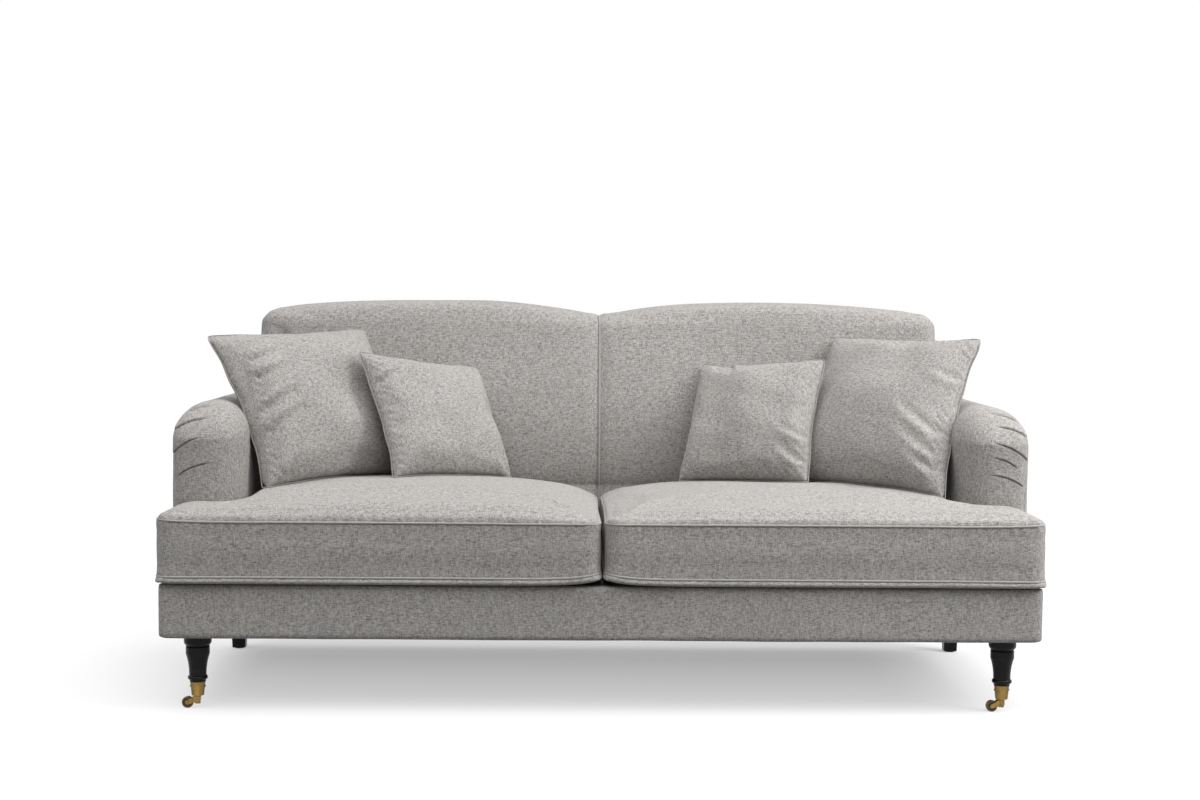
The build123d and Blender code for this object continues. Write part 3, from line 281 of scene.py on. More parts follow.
def heathered_weave():
    """Grey cloth of mixed fibres: dashes of light and dark yarn both ways, and the height of its weave."""
    if "Heathered weave" in bpy.data.node_groups:
        return bpy.data.node_groups["Heathered weave"]
    tree, inside, outside = new_group("Heathered weave", [
        ("Dark", "NodeSocketColor", (0.2, 0.2, 0.2, 1)),
        ("Light", "NodeSocketColor", (0.6, 0.6, 0.6, 1)),
        ("Warm", "NodeSocketColor", (0.5, 0.45, 0.4, 1)),
        ("Pitch", "NodeSocketFloat", 0.002),
    ], [("Color", "NodeSocketColor"), ("Height", "NodeSocketFloat")])
    weft_stretch, warp_stretch, weft_share = (0.24, 1.0, 1.0), (1.0, 0.27, 0.27), 0.55
    place = object_place(tree)
    fine = maths(tree, "DIVIDE", 1.0, inside.outputs["Pitch"])
    weft_place = vector_maths(tree, "MULTIPLY", place, weft_stretch)
    warp_place = vector_maths(tree, "MULTIPLY", place, warp_stretch)
    weft = maths(tree, "MULTIPLY", noise(tree, weft_place, fine, 2.0, 0.55), weft_share)
    warp = maths(tree, "MULTIPLY", noise(tree, warp_place, fine, 2.0, 0.55), 1 - weft_share)
    tone = ranged(tree, maths(tree, "ADD", weft, warp), 0.34, 0.66)
    grey = mixed(tree, tone, inside.outputs["Dark"], inside.outputs["Light"])
    fleck = noise(tree, weft_place, maths(tree, "MULTIPLY", fine, 0.7))
    warm_share = ranged(tree, fleck, 0.55, 0.72, 0.0, 0.6)
    colour = mixed(tree, warm_share, grey, inside.outputs["Warm"])
    turns = maths(tree, "MULTIPLY", fine, 2 * math.pi)
    waves = put(tree, "ShaderNodeVectorMath", {0: place, "Scale": turns}, operation="SCALE").outputs[0]
    crests = vector_maths(tree, "SINE", waves)
    weave = vector_maths(tree, "DOT_PRODUCT", crests, (0.2, 0.2, 0.2), "Value")
    feed(outside, {"Color": colour, "Height": maths(tree, "ADD", weave, tone)})
    return tree


def long_grain():
    """Streaks along one axis, for timber and drawn metal."""
    if "Long grain" in bpy.data.node_groups:
        return bpy.data.node_groups["Long grain"]
    tree, inside, outside = new_group("Long grain", [
        ("Stretch", "NodeSocketVector", (1.0, 1.0, 1.0)),
        ("Scale", "NodeSocketFloat", 60.0),
        ("Dark", "NodeSocketColor", (0.3, 0.2, 0.1, 1)),
        ("Light", "NodeSocketColor", (0.6, 0.4, 0.2, 1)),
    ], [("Color", "NodeSocketColor"), ("Height", "NodeSocketFloat")])
    place = vector_maths(tree, "MULTIPLY", object_place(tree), inside.outputs["Stretch"])
    streak = noise(tree, place, inside.outputs["Scale"], 6.0, 0.65)
    tone = ranged(tree, streak, 0.32, 0.68)
    colour = mixed(tree, tone, inside.outputs["Dark"], inside.outputs["Light"])
    feed(outside, {"Color": colour, "Height": tone})
    return tree


def handled_surface():
    """Clouds and scuffs of a surface that is handled, as a roughness and a mask of its duller spots."""
    if "Handled surface" in bpy.data.node_groups:
        return bpy.data.node_groups["Handled surface"]
    tree, inside, outside = new_group("Handled surface", [
        ("Smooth", "NodeSocketFloat", 0.2),
        ("Dull", "NodeSocketFloat", 0.4),
        ("Scale", "NodeSocketFloat", 60.0),
    ], [("Roughness", "NodeSocketFloat"), ("Spots", "NodeSocketFloat")])
    cloud = noise(tree, object_place(tree), inside.outputs["Scale"], 5.0, 0.6)
    spots = ranged(tree, cloud, 0.45, 0.70)
    span = maths(tree, "SUBTRACT", inside.outputs["Dull"], inside.outputs["Smooth"])
    rough = maths(tree, "ADD", inside.outputs["Smooth"], maths(tree, "MULTIPLY", span, spots))
    feed(outside, {"Roughness": rough, "Spots": spots})
    return tree


# Finishes


def handled(tree, smooth, dull, scale):
    """The duller spots and the roughness of a handled surface."""
    surface = group_node(tree, handled_surface(), Smooth=smooth, Dull=dull, Scale=scale)
    return surface.outputs["Spots"], surface.outputs["Roughness"]


def cloth_finish(name, pitch, depth, contrast=1.0):
    """Heathered cloth in the sofa's yarns, at a weave pitch and with more or less contrast between them."""
    fabric = bpy.context.scene.sofa_fabric
    material, tree, shader = new_material(name)
    yarns = {"Dark": fabric.dark_yarn, "Light": fabric.light_yarn, "Warm": fabric.warm_yarn}
    middle = (np.array(fabric.dark_yarn) + np.array(fabric.light_yarn)) / 2
    tones = {key: rgba(middle + contrast * (np.array(colour) - middle)) for key, colour in yarns.items()}
    weave = group_node(tree, heathered_weave(), Pitch=pitch, **tones)
    normal = bumped(tree, weave.outputs["Height"], depth, 0.6)
    set_sockets(shader, Base_Color=weave.outputs["Color"], Roughness=0.92, Specular_IOR_Level=0.2,
                Sheen_Weight=fabric.sheen, Sheen_Roughness=0.5, Normal=normal)
    return material


def upholstery_finish():
    return cloth_finish("heathered_cloth", bpy.context.scene.sofa_fabric.weave_pitch, 0.0006)


def piping_finish():
    return cloth_finish("piping_cloth", 0.7 * bpy.context.scene.sofa_fabric.weave_pitch, 0.0002, 0.45)


def plain_cloth(name, dark, light, pitch):
    """A plain woven utility cloth."""
    material, tree, shader = new_material(name)
    tones = {"Dark": rgba(dark), "Light": rgba(light), "Warm": rgba(light)}
    weave = group_node(tree, heathered_weave(), Pitch=pitch, **tones)
    normal = bumped(tree, weave.outputs["Height"], 0.0004, 0.6)
    set_sockets(shader, Base_Color=weave.outputs["Color"], Roughness=0.95, Specular_IOR_Level=0.15,
                Normal=normal)
    return material


def timber_finish():
    """Bare timber with its grain along the sofa."""
    colour = bpy.context.scene.sofa_finishes.hardwood
    material, tree, shader = new_material("frame_timber")
    tones = {"Dark": rgba(colour, 0.55), "Light": rgba(colour)}
    grain = group_node(tree, long_grain(), Stretch=(0.12, 1.0, 1.0), Scale=90.0, **tones)
    normal = bumped(tree, grain.outputs["Height"], 0.0004, 0.5)
    set_sockets(shader, Base_Color=grain.outputs["Color"], Roughness=0.7, Normal=normal)
    return material


def lacquer_finish():
    """Black lacquer over turned wood, with a thin clear coat."""
    colour = bpy.context.scene.sofa_finishes.lacquer
    material, tree, shader = new_material("leg_lacquer")
    spots, roughness = handled(tree, 0.22, 0.38, 70.0)
    tone = mixed(tree, spots, rgba(colour), rgba(colour, 2.4))
    grain = group_node(tree, long_grain(), Stretch=(1.0, 1.0, 0.1), Scale=240.0)
    normal = bumped(tree, grain.outputs["Height"], 0.0002, 0.25)
    set_sockets(shader, Base_Color=tone, Roughness=roughness, Specular_IOR_Level=0.12,
                Coat_Weight=0.03, Coat_Roughness=0.15, Normal=normal)
    return material


def metal_finish(name, colour, smooth, dull, edge=0.0):
    """Drawn metal with streaks, duller clouds, fine scratches and painted shade on edges turned from the
    view.
    """
    material, tree, shader = new_material(name)
    spots, roughness = handled(tree, smooth, dull, 120.0)
    tarnished = rgba(colour, 0.55)
    tones = {"Dark": tarnished, "Light": rgba(colour)}
    streaks = group_node(tree, long_grain(), Stretch=(1.0, 1.0, 0.03), Scale=150.0, **tones)
    tone = mixed(tree, spots, streaks.outputs["Color"], tarnished)
    # Painted shade: the colour darkens towards the edges that turn away from the view, by the edge share.
    facing = put(tree, "ShaderNodeLayerWeight", {"Blend": 0.5}).outputs["Facing"]
    tone = mixed(tree, ranged(tree, facing, 0.1, 0.75, 0.0, edge), tone, rgba(colour, 0.2))
    scratches = group_node(tree, long_grain(), Stretch=(1.0, 1.0, 0.06), Scale=900.0)
    normal = bumped(tree, scratches.outputs["Height"], 0.00008, 0.3)
    set_sockets(shader, Base_Color=tone, Metallic=1.0, Roughness=roughness, Normal=normal)
    return material


def wheel_finish(node):
    """A brass rim and hub with painted shade on the recessed web between them, by the distance from the
    axle.
    """
    colour = bpy.context.scene.sofa_finishes.brass
    low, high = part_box(node)
    middle = (low + high) / 2
    rim, hub = 0.0092, 0.0042
    material, tree, shader = new_material(f"{node}_finish")
    offset = vector_maths(tree, "SUBTRACT", object_place(tree), tuple(middle))
    flat = vector_maths(tree, "MULTIPLY", offset, (1, 0, 1))
    radius = vector_maths(tree, "LENGTH", flat, output="Value")
    outside = maths(tree, "GREATER_THAN", radius, rim)
    inside = maths(tree, "LESS_THAN", radius, hub)
    metal = maths(tree, "ADD", outside, inside)
    spots, roughness = handled(tree, 0.2, 0.4, 150.0)
    bright = mixed(tree, spots, rgba(colour, 0.35), rgba(colour, 0.15))
    # Painted shade: the recessed web is painted near black in place of its shadow.
    painted_shade_web = (0.03, 0.028, 0.026, 1)
    tone = mixed(tree, metal, painted_shade_web, bright)
    set_sockets(shader, Base_Color=tone, Metallic=metal, Roughness=roughness)
    return material


def moulded_finish(name, colour):
    """Moulded plastic with a fine dull texture."""
    material, tree, shader = new_material(name)
    spots, roughness = handled(tree, 0.45, 0.65, 200.0)
    tone = mixed(tree, spots, rgba(colour), rgba(colour, 1.3))
    normal = bumped(tree, spots, 0.0002, 0.4)
    set_sockets(shader, Base_Color=tone, Roughness=roughness, Normal=normal)
    return material


def dress(piece, material):
    piece.data.materials.clear()
    piece.data.materials.append(material)


# Mesh helpers


def vectors_of(items, field):
    found = np.empty(3 * len(items))
    items.foreach_get(field, found)
    return found.reshape(-1, 3)


def get_points(piece):
    return vectors_of(piece.data.vertices, "co")


def get_normals(piece):
    return vectors_of(piece.data.vertex_normals, "vector")


def set_points(piece, points):
    piece.data.vertices.foreach_set("co", np.ascontiguousarray(points, dtype=float).ravel())
    piece.data.update()


def push(piece, amounts):
    """Moves each point along its normal."""
    set_points(piece, get_points(piece) + get_normals(piece) * np.asarray(amounts)[:, None])


def new_piece(name, mesh):
    piece = bpy.data.objects.new(name, mesh)
    bpy.context.scene.collection.objects.link(piece)
    return piece


def settle(piece):
    """Puts a piece's modifiers into its mesh."""
    seen = piece.evaluated_get(bpy.context.evaluated_depsgraph_get())
    mesh = bpy.data.meshes.new_from_object(seen)
    old = piece.data
    piece.modifiers.clear()
    piece.data = mesh
    bpy.data.meshes.remove(old)
    mesh.name = piece.name


def smooth_shaded(piece):
    piece.data.polygons.foreach_set("use_smooth", [True] * len(piece.data.polygons))
    piece.data.update()


def relax(piece, rounds, share=0.5):
    """Evens out a mesh by moving each point towards the middle of its neighbours."""
    edges = np.empty(2 * len(piece.data.edges), dtype=np.int64)
    piece.data.edges.foreach_get("vertices", edges)
    first, second = edges.reshape(-1, 2).T
    points = get_points(piece)
    count = np.bincount(np.concatenate((first, second)), minlength=len(points))[:, None]
    for _ in range(rounds):
        total = np.zeros_like(points)
        np.add.at(total, first, points[second])
        np.add.at(total, second, points[first])
        points = points + share * (total / np.maximum(count, 1) - points)
    set_points(piece, points)


def skin_of(node, name, voxel, stretch=(1, 1, 1), rounds=3, core=None, seam=0.0):
    """A new piece with a node's surface in even squares, without the inside that faces its core.

    A thin panel is stretched while it is remeshed. A face on the sofa's middle goes on past the seam there.
    """
    mesh = nodes[node].data.copy()
    mesh.materials.clear()
    work = bmesh.new()
    work.from_mesh(mesh)
    bmesh.ops.remove_doubles(work, verts=work.verts, dist=1e-5)
    if core:
        lining = surface_of(nodes[core])
        inner = [face for face in work.faces if lining.find_nearest(face.calc_center_median())[3] < 0.002]
        bmesh.ops.delete(work, geom=inner, context="FACES")
        bmesh.ops.holes_fill(work, edges=work.edges)
    for vertex in work.verts:
        if seam and abs(vertex.co.x) < seam:
            vertex.co.x -= math.copysign(2 * seam, vertex.co.x)
    work.to_mesh(mesh)
    work.free()
    mesh.transform(Matrix.Diagonal((*stretch, 1)))
    piece = new_piece(name, mesh)
    remesh = piece.modifiers.new("Even squares", "REMESH")
    remesh.mode = "VOXEL"
    remesh.voxel_size = voxel
    settle(piece)
    piece.data.transform(Matrix.Diagonal((*[1 / part for part in stretch], 1)))
    relax(piece, rounds)
    smooth_shaded(piece)
    return piece


def divide(piece):
    """One round of subdivision."""
    finer = piece.modifiers.new("Finer", "SUBSURF")
    finer.levels = 1
    finer.render_levels = 1
    settle(piece)
    smooth_shaded(piece)


def waves_of(points, length, seed, count=14):
    """Smooth random height from -1 to 1 or so, with swells of about one length."""
    draw = np.random.default_rng(SEED + seed)
    total = np.zeros(len(points))
    for _ in range(count):
        way = draw.normal(size=3)
        way *= 2 * math.pi / length * draw.uniform(0.6, 1.3) / np.linalg.norm(way)
        total += np.cos(points @ way + draw.uniform(0, 2 * math.pi))
    return total * math.sqrt(2 / count) / 2


def bell(distance, width):
    return np.exp(-(distance / width) ** 2)


def gathers_of(points, pitch, shift):
    """Small waves at a pitch, slanting across a surface and shifted a little from place to place."""
    return np.cos(2 * math.pi * (points[:, 0] + points[:, 1]) / pitch + shift)


def surface_of(piece):
    """A piece's surface, where it stands, for finding what is near it or lies on it."""
    work = bmesh.new()
    work.from_mesh(piece.data)
    work.transform(piece.matrix_world)
    tree = BVHTree.FromBMesh(work)
    work.free()
    return tree


def near_distance(tree, points, reach):
    """Distance of each point from a surface, up to a reach."""
    found = np.full(len(points), reach)
    for index, point in enumerate(points):
        hit = tree.find_nearest(Vector(point), reach)
        if hit[0] is not None:
            found[index] = hit[3]
    return found


def puff(piece, pressure, cap, pinned=None, frames=14, mass=0.3, stiffness=15.0):
    """Swells a piece by cloth simulation, with the pinned points held and no point moved past the cap."""
    scene = bpy.context.scene
    start = get_points(piece)
    cloth = piece.modifiers.new("Stuffing", "CLOTH")
    settings = cloth.settings
    settings.use_pressure = True
    settings.uniform_pressure_force = pressure
    settings.effector_weights.gravity = 0
    settings.mass = mass
    settings.tension_stiffness = stiffness
    settings.compression_stiffness = stiffness
    settings.shear_stiffness = 5.0
    settings.bending_stiffness = 0.5
    settings.quality = 4
    cloth.collision_settings.use_collision = False
    if pinned is not None:
        group = piece.vertex_groups.new(name="held")
        group.add([int(index) for index in np.flatnonzero(pinned)], 1.0, "REPLACE")
        settings.vertex_group_mass = "held"
    cloth.point_cache.frame_start = 1
    cloth.point_cache.frame_end = frames
    for number in range(1, frames + 1):
        scene.frame_set(number)
    seen = piece.evaluated_get(bpy.context.evaluated_depsgraph_get())
    move = get_points(seen) - start
    piece.modifiers.clear()
    piece.vertex_groups.clear()
    scene.frame_set(1)
    length = np.maximum(np.linalg.norm(move, axis=1), 1e-9)
    set_points(piece, start + move * np.minimum(1, cap / length)[:, None])


def track(places, start, end, bow=0.0):
    """How far each place lies aside of a line that bows to its left, and its share along that line."""
    start, end = np.array(start), np.array(end)
    length = np.linalg.norm(end - start)
    run = (end - start) / length
    offset = places - start
    along = offset @ run / length
    aside = offset @ np.array((-run[1], run[0])) - 4 * bow * length * along * (1 - along)
    return aside, along


def eased(share):
    share = np.clip(share, 0, 1)
    return share * share * (3 - 2 * share)


def fold(places, start, end, height):
    """A fold along a bowed line: a rise that comes to the line from its left and drops sharply there."""
    bow, rise_share, rise_width, crease_width = 0.09, 0.45, 0.014, 0.0016
    aside, along = track(places, start, end, bow)
    taper = eased(along / 0.35) * eased((1 - along) / 0.12)
    rise = np.where(aside >= 0, np.exp(-aside / rise_width), 0)
    return taper * height * (rise_share * rise - bell(aside + crease_width / 2, crease_width))


def refine(piece, low, high):
    """Splits the faces inside a box in four."""
    work = bmesh.new()
    work.from_mesh(piece.data)
    chosen = set()
    for face in work.faces:
        middle = face.calc_center_median()
        if all(low[axis] < middle[axis] < high[axis] for axis in range(3)):
            chosen.update(edge.index for edge in face.edges)
    work.edges.ensure_lookup_table()
    edges = [work.edges[index] for index in sorted(chosen)]
    bmesh.ops.subdivide_edges(work, edges=edges, cuts=1, use_grid_fill=True)
    work.to_mesh(piece.data)
    work.free()
    smooth_shaded(piece)


def outline_at(piece, height, step):
    """A piece's outline at a height, as evenly spaced points in order."""
    work = bmesh.new()
    work.from_mesh(piece.data)
    every = [*work.verts, *work.edges, *work.faces]
    cut = bmesh.ops.bisect_plane(work, geom=every, plane_co=(0, 0, height), plane_no=(0, 0, 1))["geom_cut"]
    near = {}
    for edge in cut:
        if isinstance(edge, bmesh.types.BMEdge):
            first, second = edge.verts
            near.setdefault(first, []).append(second)
            near.setdefault(second, []).append(first)
    start = max(near, key=lambda vertex: vertex.co.length)
    ring = [start]
    last, here = start, near[start][0]
    while here is not start:
        ring.append(here)
        ahead = near[here][1] if near[here][0] is last else near[here][0]
        last, here = here, ahead
    line = np.array([vertex.co for vertex in [*ring, start]])
    work.free()
    run = np.concatenate(([0], np.cumsum(np.linalg.norm(np.diff(line, axis=0), axis=1))))
    places = np.linspace(0, run[-1], int(run[-1] / step), endpoint=False)
    return np.column_stack([np.interp(places, run, line[:, axis]) for axis in range(3)])


def carried(line, before, after):
    """A closed line moved as the nearest points of a mesh were, and evened out."""
    tree = KDTree(len(before))
    for index, point in enumerate(before):
        tree.insert(point, index)
    tree.balance()
    nearest = [[found[1] for found in tree.find_n(point, 6)] for point in line]
    moved = line + np.array([(after[near] - before[near]).mean(axis=0) for near in nearest])
    for _ in range(4):
        moved = (np.roll(moved, 1, axis=0) + 2 * moved + np.roll(moved, -1, axis=0)) / 4
    return moved


def seam_cord(name, loops, radius, closed=True):
    """Thin cords through lines of points, closed or with round ends, as one mesh."""
    data = bpy.data.curves.new(name, "CURVE")
    data.dimensions = "3D"
    data.bevel_depth = radius
    data.bevel_resolution = 2
    for points in loops:
        line = data.splines.new("POLY")
        line.points.add(len(points) - 1)
        line.points.foreach_set("co", np.column_stack((points, np.ones(len(points)))).ravel())
        line.use_cyclic_u = closed
    data.use_fill_caps = not closed
    curve = new_piece(name, data)
    mesh = bpy.data.meshes.new_from_object(curve.evaluated_get(bpy.context.evaluated_depsgraph_get()))
    bpy.data.objects.remove(curve)
    cord = new_piece(name, mesh)
    smooth_shaded(cord)
    return cord


def upholster(piece, body, fill, *hidden):
    """Covers a padded piece of a body in the sofa's cloth, in place of the frame's solids."""
    dress(piece, bpy.data.materials["heathered_cloth"])
    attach(piece, body)
    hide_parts(*hidden)


def pipe(cord, body):
    """Covers a cord of a body in piping cloth."""
    dress(cord, bpy.data.materials["piping_cloth"])
    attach(cord, body)


# Operators


class SOFA_OT_frame_finishes(bpy.types.Operator):
    """Gives the timber, steel, legs, castors, piping and inner cloth of the frame their finishes"""

    bl_idname = "sofa.frame_finishes"
    bl_label = "Frame finishes"

    def execute(self, context):
        finishes = context.scene.sofa_finishes
        makers = {
            "hardwood": timber_finish,
            "black_lacquer": lacquer_finish,
            "piping": piping_finish,
            "upholstery": upholstery_finish,
        }
        materials = {slot: maker() for slot, maker in makers.items()}
        # The brass carries painted shade on its edges that turn away from the view.
        materials["brass"] = metal_finish("castor_brass", finishes.brass, 0.22, 0.38, edge=0.85)
        materials["spring_steel"] = metal_finish("frame_steel", finishes.steel, 0.3, 0.5)
        cloths = {
            "webbing": ("jute_webbing", (0.10, 0.07, 0.05), (0.25, 0.19, 0.13), 0.003),
            "dust_cloth": ("black_cambric", (0.012, 0.012, 0.012), (0.035, 0.035, 0.035), 0.0015),
            "deck_cloth": ("deck_twill", (0.20, 0.20, 0.20), (0.34, 0.34, 0.34), 0.0015),
            "zip_tape": ("woven_zip_tape", (0.16, 0.155, 0.15), (0.30, 0.29, 0.28), 0.001),
        }
        materials.update({slot: plain_cloth(*cloth) for slot, cloth in cloths.items()})
        materials["glide"] = moulded_finish("moulded_glide", (0.03, 0.03, 0.03))
        for part in frame["record"]["subparts"]:
            if part["material_slot"] in materials:
                dress(nodes[part["node"]], materials[part["material_slot"]])
        for side, _ in SIDES:
            wheel = f"{side}_castor_wheel"
            dress(nodes[wheel], wheel_finish(wheel))
        return {"FINISHED"}


class SOFA_OT_seat_cushions(bpy.types.Operator):
    """Makes the two piped seat cushions"""

    bl_idname = "sofa.seat_cushions"
    bl_label = "Seat cushions"

    voxel, cord_step = 0.008, 0.006
    # How far the middle of each cushion's top stands above the frame's plain crown
    crowns = {"left": 0.011, "right": 0.002}

    def shape(self, piece, piping, seams, side, sign):
        """Sews the seams in, plumps the edges and rounds the lip under the lower seam."""
        softness = bpy.context.scene.sofa_softness
        seam_rise, seam_width, boxing_rise = 0.0028, 0.016, 0.0026
        gather_reach, plump_reach, lip_peak = 0.013, 0.024, 0.7
        middle_rise, end_rise, valley, valley_width = 0.016, 0.005, 0.018, 0.08
        low_seam, high_seam = seams
        points = get_points(piece)
        normals = get_normals(piece)
        low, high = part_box(f"{side}_seat_cover")
        seam = near_distance(piping, points, 0.08)
        upward = np.clip(normals[:, 2], 0, 1)
        level = np.clip((points[:, 2] - low_seam) / (high_seam - low_seam), 0, 1)
        from_middle = sign * points[:, 0]
        from_front = points[:, 1] - low[1]
        from_end = max(abs(low[0]), abs(high[0])) - from_middle
        gathers = gathers_of(points, 0.024, 2.5 * waves_of(points, 0.12, 3))
        height = softness.pucker * gathers * np.exp(-seam / gather_reach) * (seam < 0.07)
        height += seam_rise * bell(seam, seam_width)
        height += boxing_rise * np.sin(math.pi * level) * (1 - np.abs(normals[:, 2]))
        height += softness.plump * upward * seam / plump_reach * np.exp(1 - seam / plump_reach)
        height += (0.0005 + 0.0014 * upward) * waves_of(points, 0.17, 5 + sign)
        height *= np.where(normals[:, 2] < -0.7, 0, 1)
        below = np.clip((low_seam - points[:, 2]) / (low_seam - low[2]), 0, 1)
        rounded = (low_seam - low[2]) * (1 - np.sqrt(1 - below * below))
        tail = (below - lip_peak) / (1 - lip_peak)
        lip = np.where(below < lip_peak, np.sin(math.pi / 2 * below / lip_peak), 1 - tail ** 2)
        outset = np.where(below > 0, rounded + softness.lip * lip, 0)
        raised = middle_rise * np.exp(-from_middle / 0.045 - from_front / 0.15) * (1 - level) ** 2
        raised += end_rise * np.exp(-from_end / 0.05 - from_front / 0.08) * level
        crown = np.clip((points[:, 2] - high_seam) / 0.03, 0, 1)
        arch = np.sin(math.pi * np.clip(from_middle / 0.8, 0, 1))
        raised += crown * (self.crowns[side] * arch - valley * np.exp(-from_middle / valley_width))
        points += normals * height[:, None]
        points[:, :2] += normals[:, :2] * outset[:, None]
        points[:, 2] += raised
        set_points(piece, points)

    def execute(self, context):
        softness = context.scene.sofa_softness
        for side, sign in SIDES:
            cover, core, node = (f"{side}_seat_{word}" for word in ("cover", "core", "piping"))
            piece = skin_of(cover, f"{side}_seat_cushion", self.voxel, rounds=2, core=core)
            piping = surface_of(nodes[node])
            low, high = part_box(node)
            seams = (low[2] + PIPING_RADIUS, high[2] - PIPING_RADIUS)
            loops = [outline_at(piece, seam, self.cord_step) for seam in seams]
            before = get_points(piece)
            sewn = near_distance(piping, before, 0.04) < 0.012
            below = get_normals(piece)[:, 2] < -0.7
            behind = before[:, 1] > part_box(cover)[1][1] - 0.03
            puff(piece, softness.pressure, softness.seat_swell, sewn | below | behind)
            divide(piece)
            before = get_points(piece)
            self.shape(piece, piping, seams, side, sign)
            lines = [carried(loop, before, get_points(piece)) for loop in loops]
            cord = seam_cord(f"{side}_seat_cord", lines, PIPING_RADIUS)
            upholster(piece, f"{side}_seat", 0.85, cover, core)
            pipe(cord, f"{side}_seat")
            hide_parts(node)
        return {"FINISHED"}


class SOFA_OT_arms(bpy.types.Operator):
    """Makes the two rolled arms with the pleats on their fronts"""

    bl_idname = "sofa.arms"
    bl_label = "Arms"

    seam_depth, seam_width = 0.0024, 0.0020
    margin = 0.01

    # Inner and outer end of each pleat on an arm front, across from the sofa's middle and up from the floor
    pleats = {
        "left": (((880, 658), (938, 645)), ((880, 634), (967, 605)), ((892, 595), (968, 551)),
                 ((868, 536), (953, 504))),
        "right": (((872, 655), (950, 635)), ((884, 628), (966, 602)), ((878, 593), (965, 549)),
                  ((876, 560), (934, 537)), ((864, 521), (954, 492))),
    }
    # Upper and lower end of the seam beside the pleats
    seams = {"left": ((954, 512), (950, 420)), "right": ((961, 556), (953, 420))}

    def round_front(self, piece, low, high):
        """Domes the front back towards its crest and its inner side."""
        dome, reach, outer_share, slope = 0.084, 0.17, 0.5, 0.38
        points = get_points(piece)
        middle = abs(low[0] + high[0]) / 2
        axis_height = high[2] - (high[0] - low[0]) / 2
        across = middle - np.abs(points[:, 0])
        across = np.where(across > 0, across, outer_share * across)
        upward = np.maximum(points[:, 2] - axis_height, 0)
        radius = np.minimum(np.hypot(across, upward), 0.97 * dome)
        depth = dome - np.sqrt(dome * dome - radius * radius) + slope * upward
        points[:, 1] += depth * np.clip(1 - (points[:, 1] - low[1]) / reach, 0, 1)
        set_points(piece, points)

    def execute(self, context):
        softness = context.scene.sofa_softness
        for side, sign in SIDES:
            node = f"{side}_arm_pad"
            low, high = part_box(node)
            piece = skin_of(node, f"{side}_arm", 0.0065)
            self.round_front(piece, low, high)
            divide(piece)
            for bottom, depth in ((0.40, 0.085), (0.48, 0.06)):
                start = (low[0] - self.margin, low[1] - self.margin, bottom)
                refine(piece, start, (high[0] + self.margin, low[1] + depth, high[2] + self.margin))
            points = get_points(piece)
            facing = np.clip(-3 * get_normals(piece)[:, 1], 0, 1) * (points[:, 1] < low[1] + 0.1)
            places = np.column_stack((sign * points[:, 0], points[:, 2]))
            height = np.zeros(len(points))
            for inner, outer in self.pleats[side]:
                height += fold(places, np.array(inner) * MM, np.array(outer) * MM, softness.pleat)
            aside, along = track(places, *(np.array(end) * MM for end in self.seams[side]))
            ends = eased(along / 0.1) * eased((1 - along) / 0.1)
            height -= self.seam_depth * ends * bell(aside, self.seam_width)
            push(piece, height * facing + 0.0010 * waves_of(points, 0.16, 21 + sign))
            upholster(piece, "sofa_frame", 0.9, node)
        return {"FINISHED"}


class SOFA_OT_back(bpy.types.Operator):
    """Makes the two humped halves of the back"""

    bl_idname = "sofa.back"
    bl_label = "Back"

    def execute(self, context):
        softness = context.scene.sofa_softness
        belly_low, belly_high, top_to_one = 0.45, 0.87, 4.04
        for side, sign in SIDES:
            node = f"{side}_back_pad"
            piece = skin_of(node, f"{side}_back", 0.008, seam=0.004)
            points = get_points(piece)
            normals = get_normals(piece)
            _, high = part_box(node)
            facing = (normals[:, 1] < -0.25) | (normals[:, 2] > 0.3)
            covered = points[:, 1] > high[1] - 0.05
            near_seam = np.abs(points[:, 0]) < 0.012
            puff(piece, softness.pressure, softness.back_swell, ~facing | covered | near_seam)
            divide(piece)
            points = get_points(piece)
            normals = get_normals(piece)
            facing = np.clip(-normals[:, 1], 0, 1) + np.clip(normals[:, 2], 0, 1)
            across = np.abs(points[:, 0])
            level = np.clip((points[:, 2] - belly_low) / (belly_high - belly_low), 0, 1)
            belly = top_to_one * level ** 0.8 * (1 - level) ** 1.3 * (normals[:, 1] < 0)
            height = -0.002 * np.exp(-across / 0.012) - 0.004 * np.exp(-across / 0.05)
            height += softness.back_bulge * (0.4 + 0.6 * bell(across, 0.4)) * belly
            height += 0.0016 * waves_of(points, 0.24, 31 + sign)
            push(piece, height * np.clip(facing, 0, 1) * (points[:, 1] < high[1] - 0.02))
            upholster(piece, "sofa_frame", 0.9, node)
        self.piping()
        return {"FINISHED"}

    def piping(self):
        """Lays the cord in the valley between the two halves, from the seat up and over the top."""
        halves = [surface_of(bpy.data.objects[f"{side}_back"]) for side, _ in SIDES]
        middle = Vector((0, 0.33, 0.62))
        lowest, highest, count = -58, 95, 200
        line = []
        for angle in np.radians(np.linspace(lowest, highest, count)):
            way = Vector((0, -math.cos(angle), math.sin(angle)))
            hits = [half.ray_cast(middle + way, -way)[3] for half in halves]
            line.append(middle + way * (1 - min(hits) + 0.7 * PIPING_RADIUS))
        cord = seam_cord("back_cord", [np.array(line)], 1.15 * PIPING_RADIUS, closed=False)
        pipe(cord, "sofa_frame")
        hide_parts("back_piping")


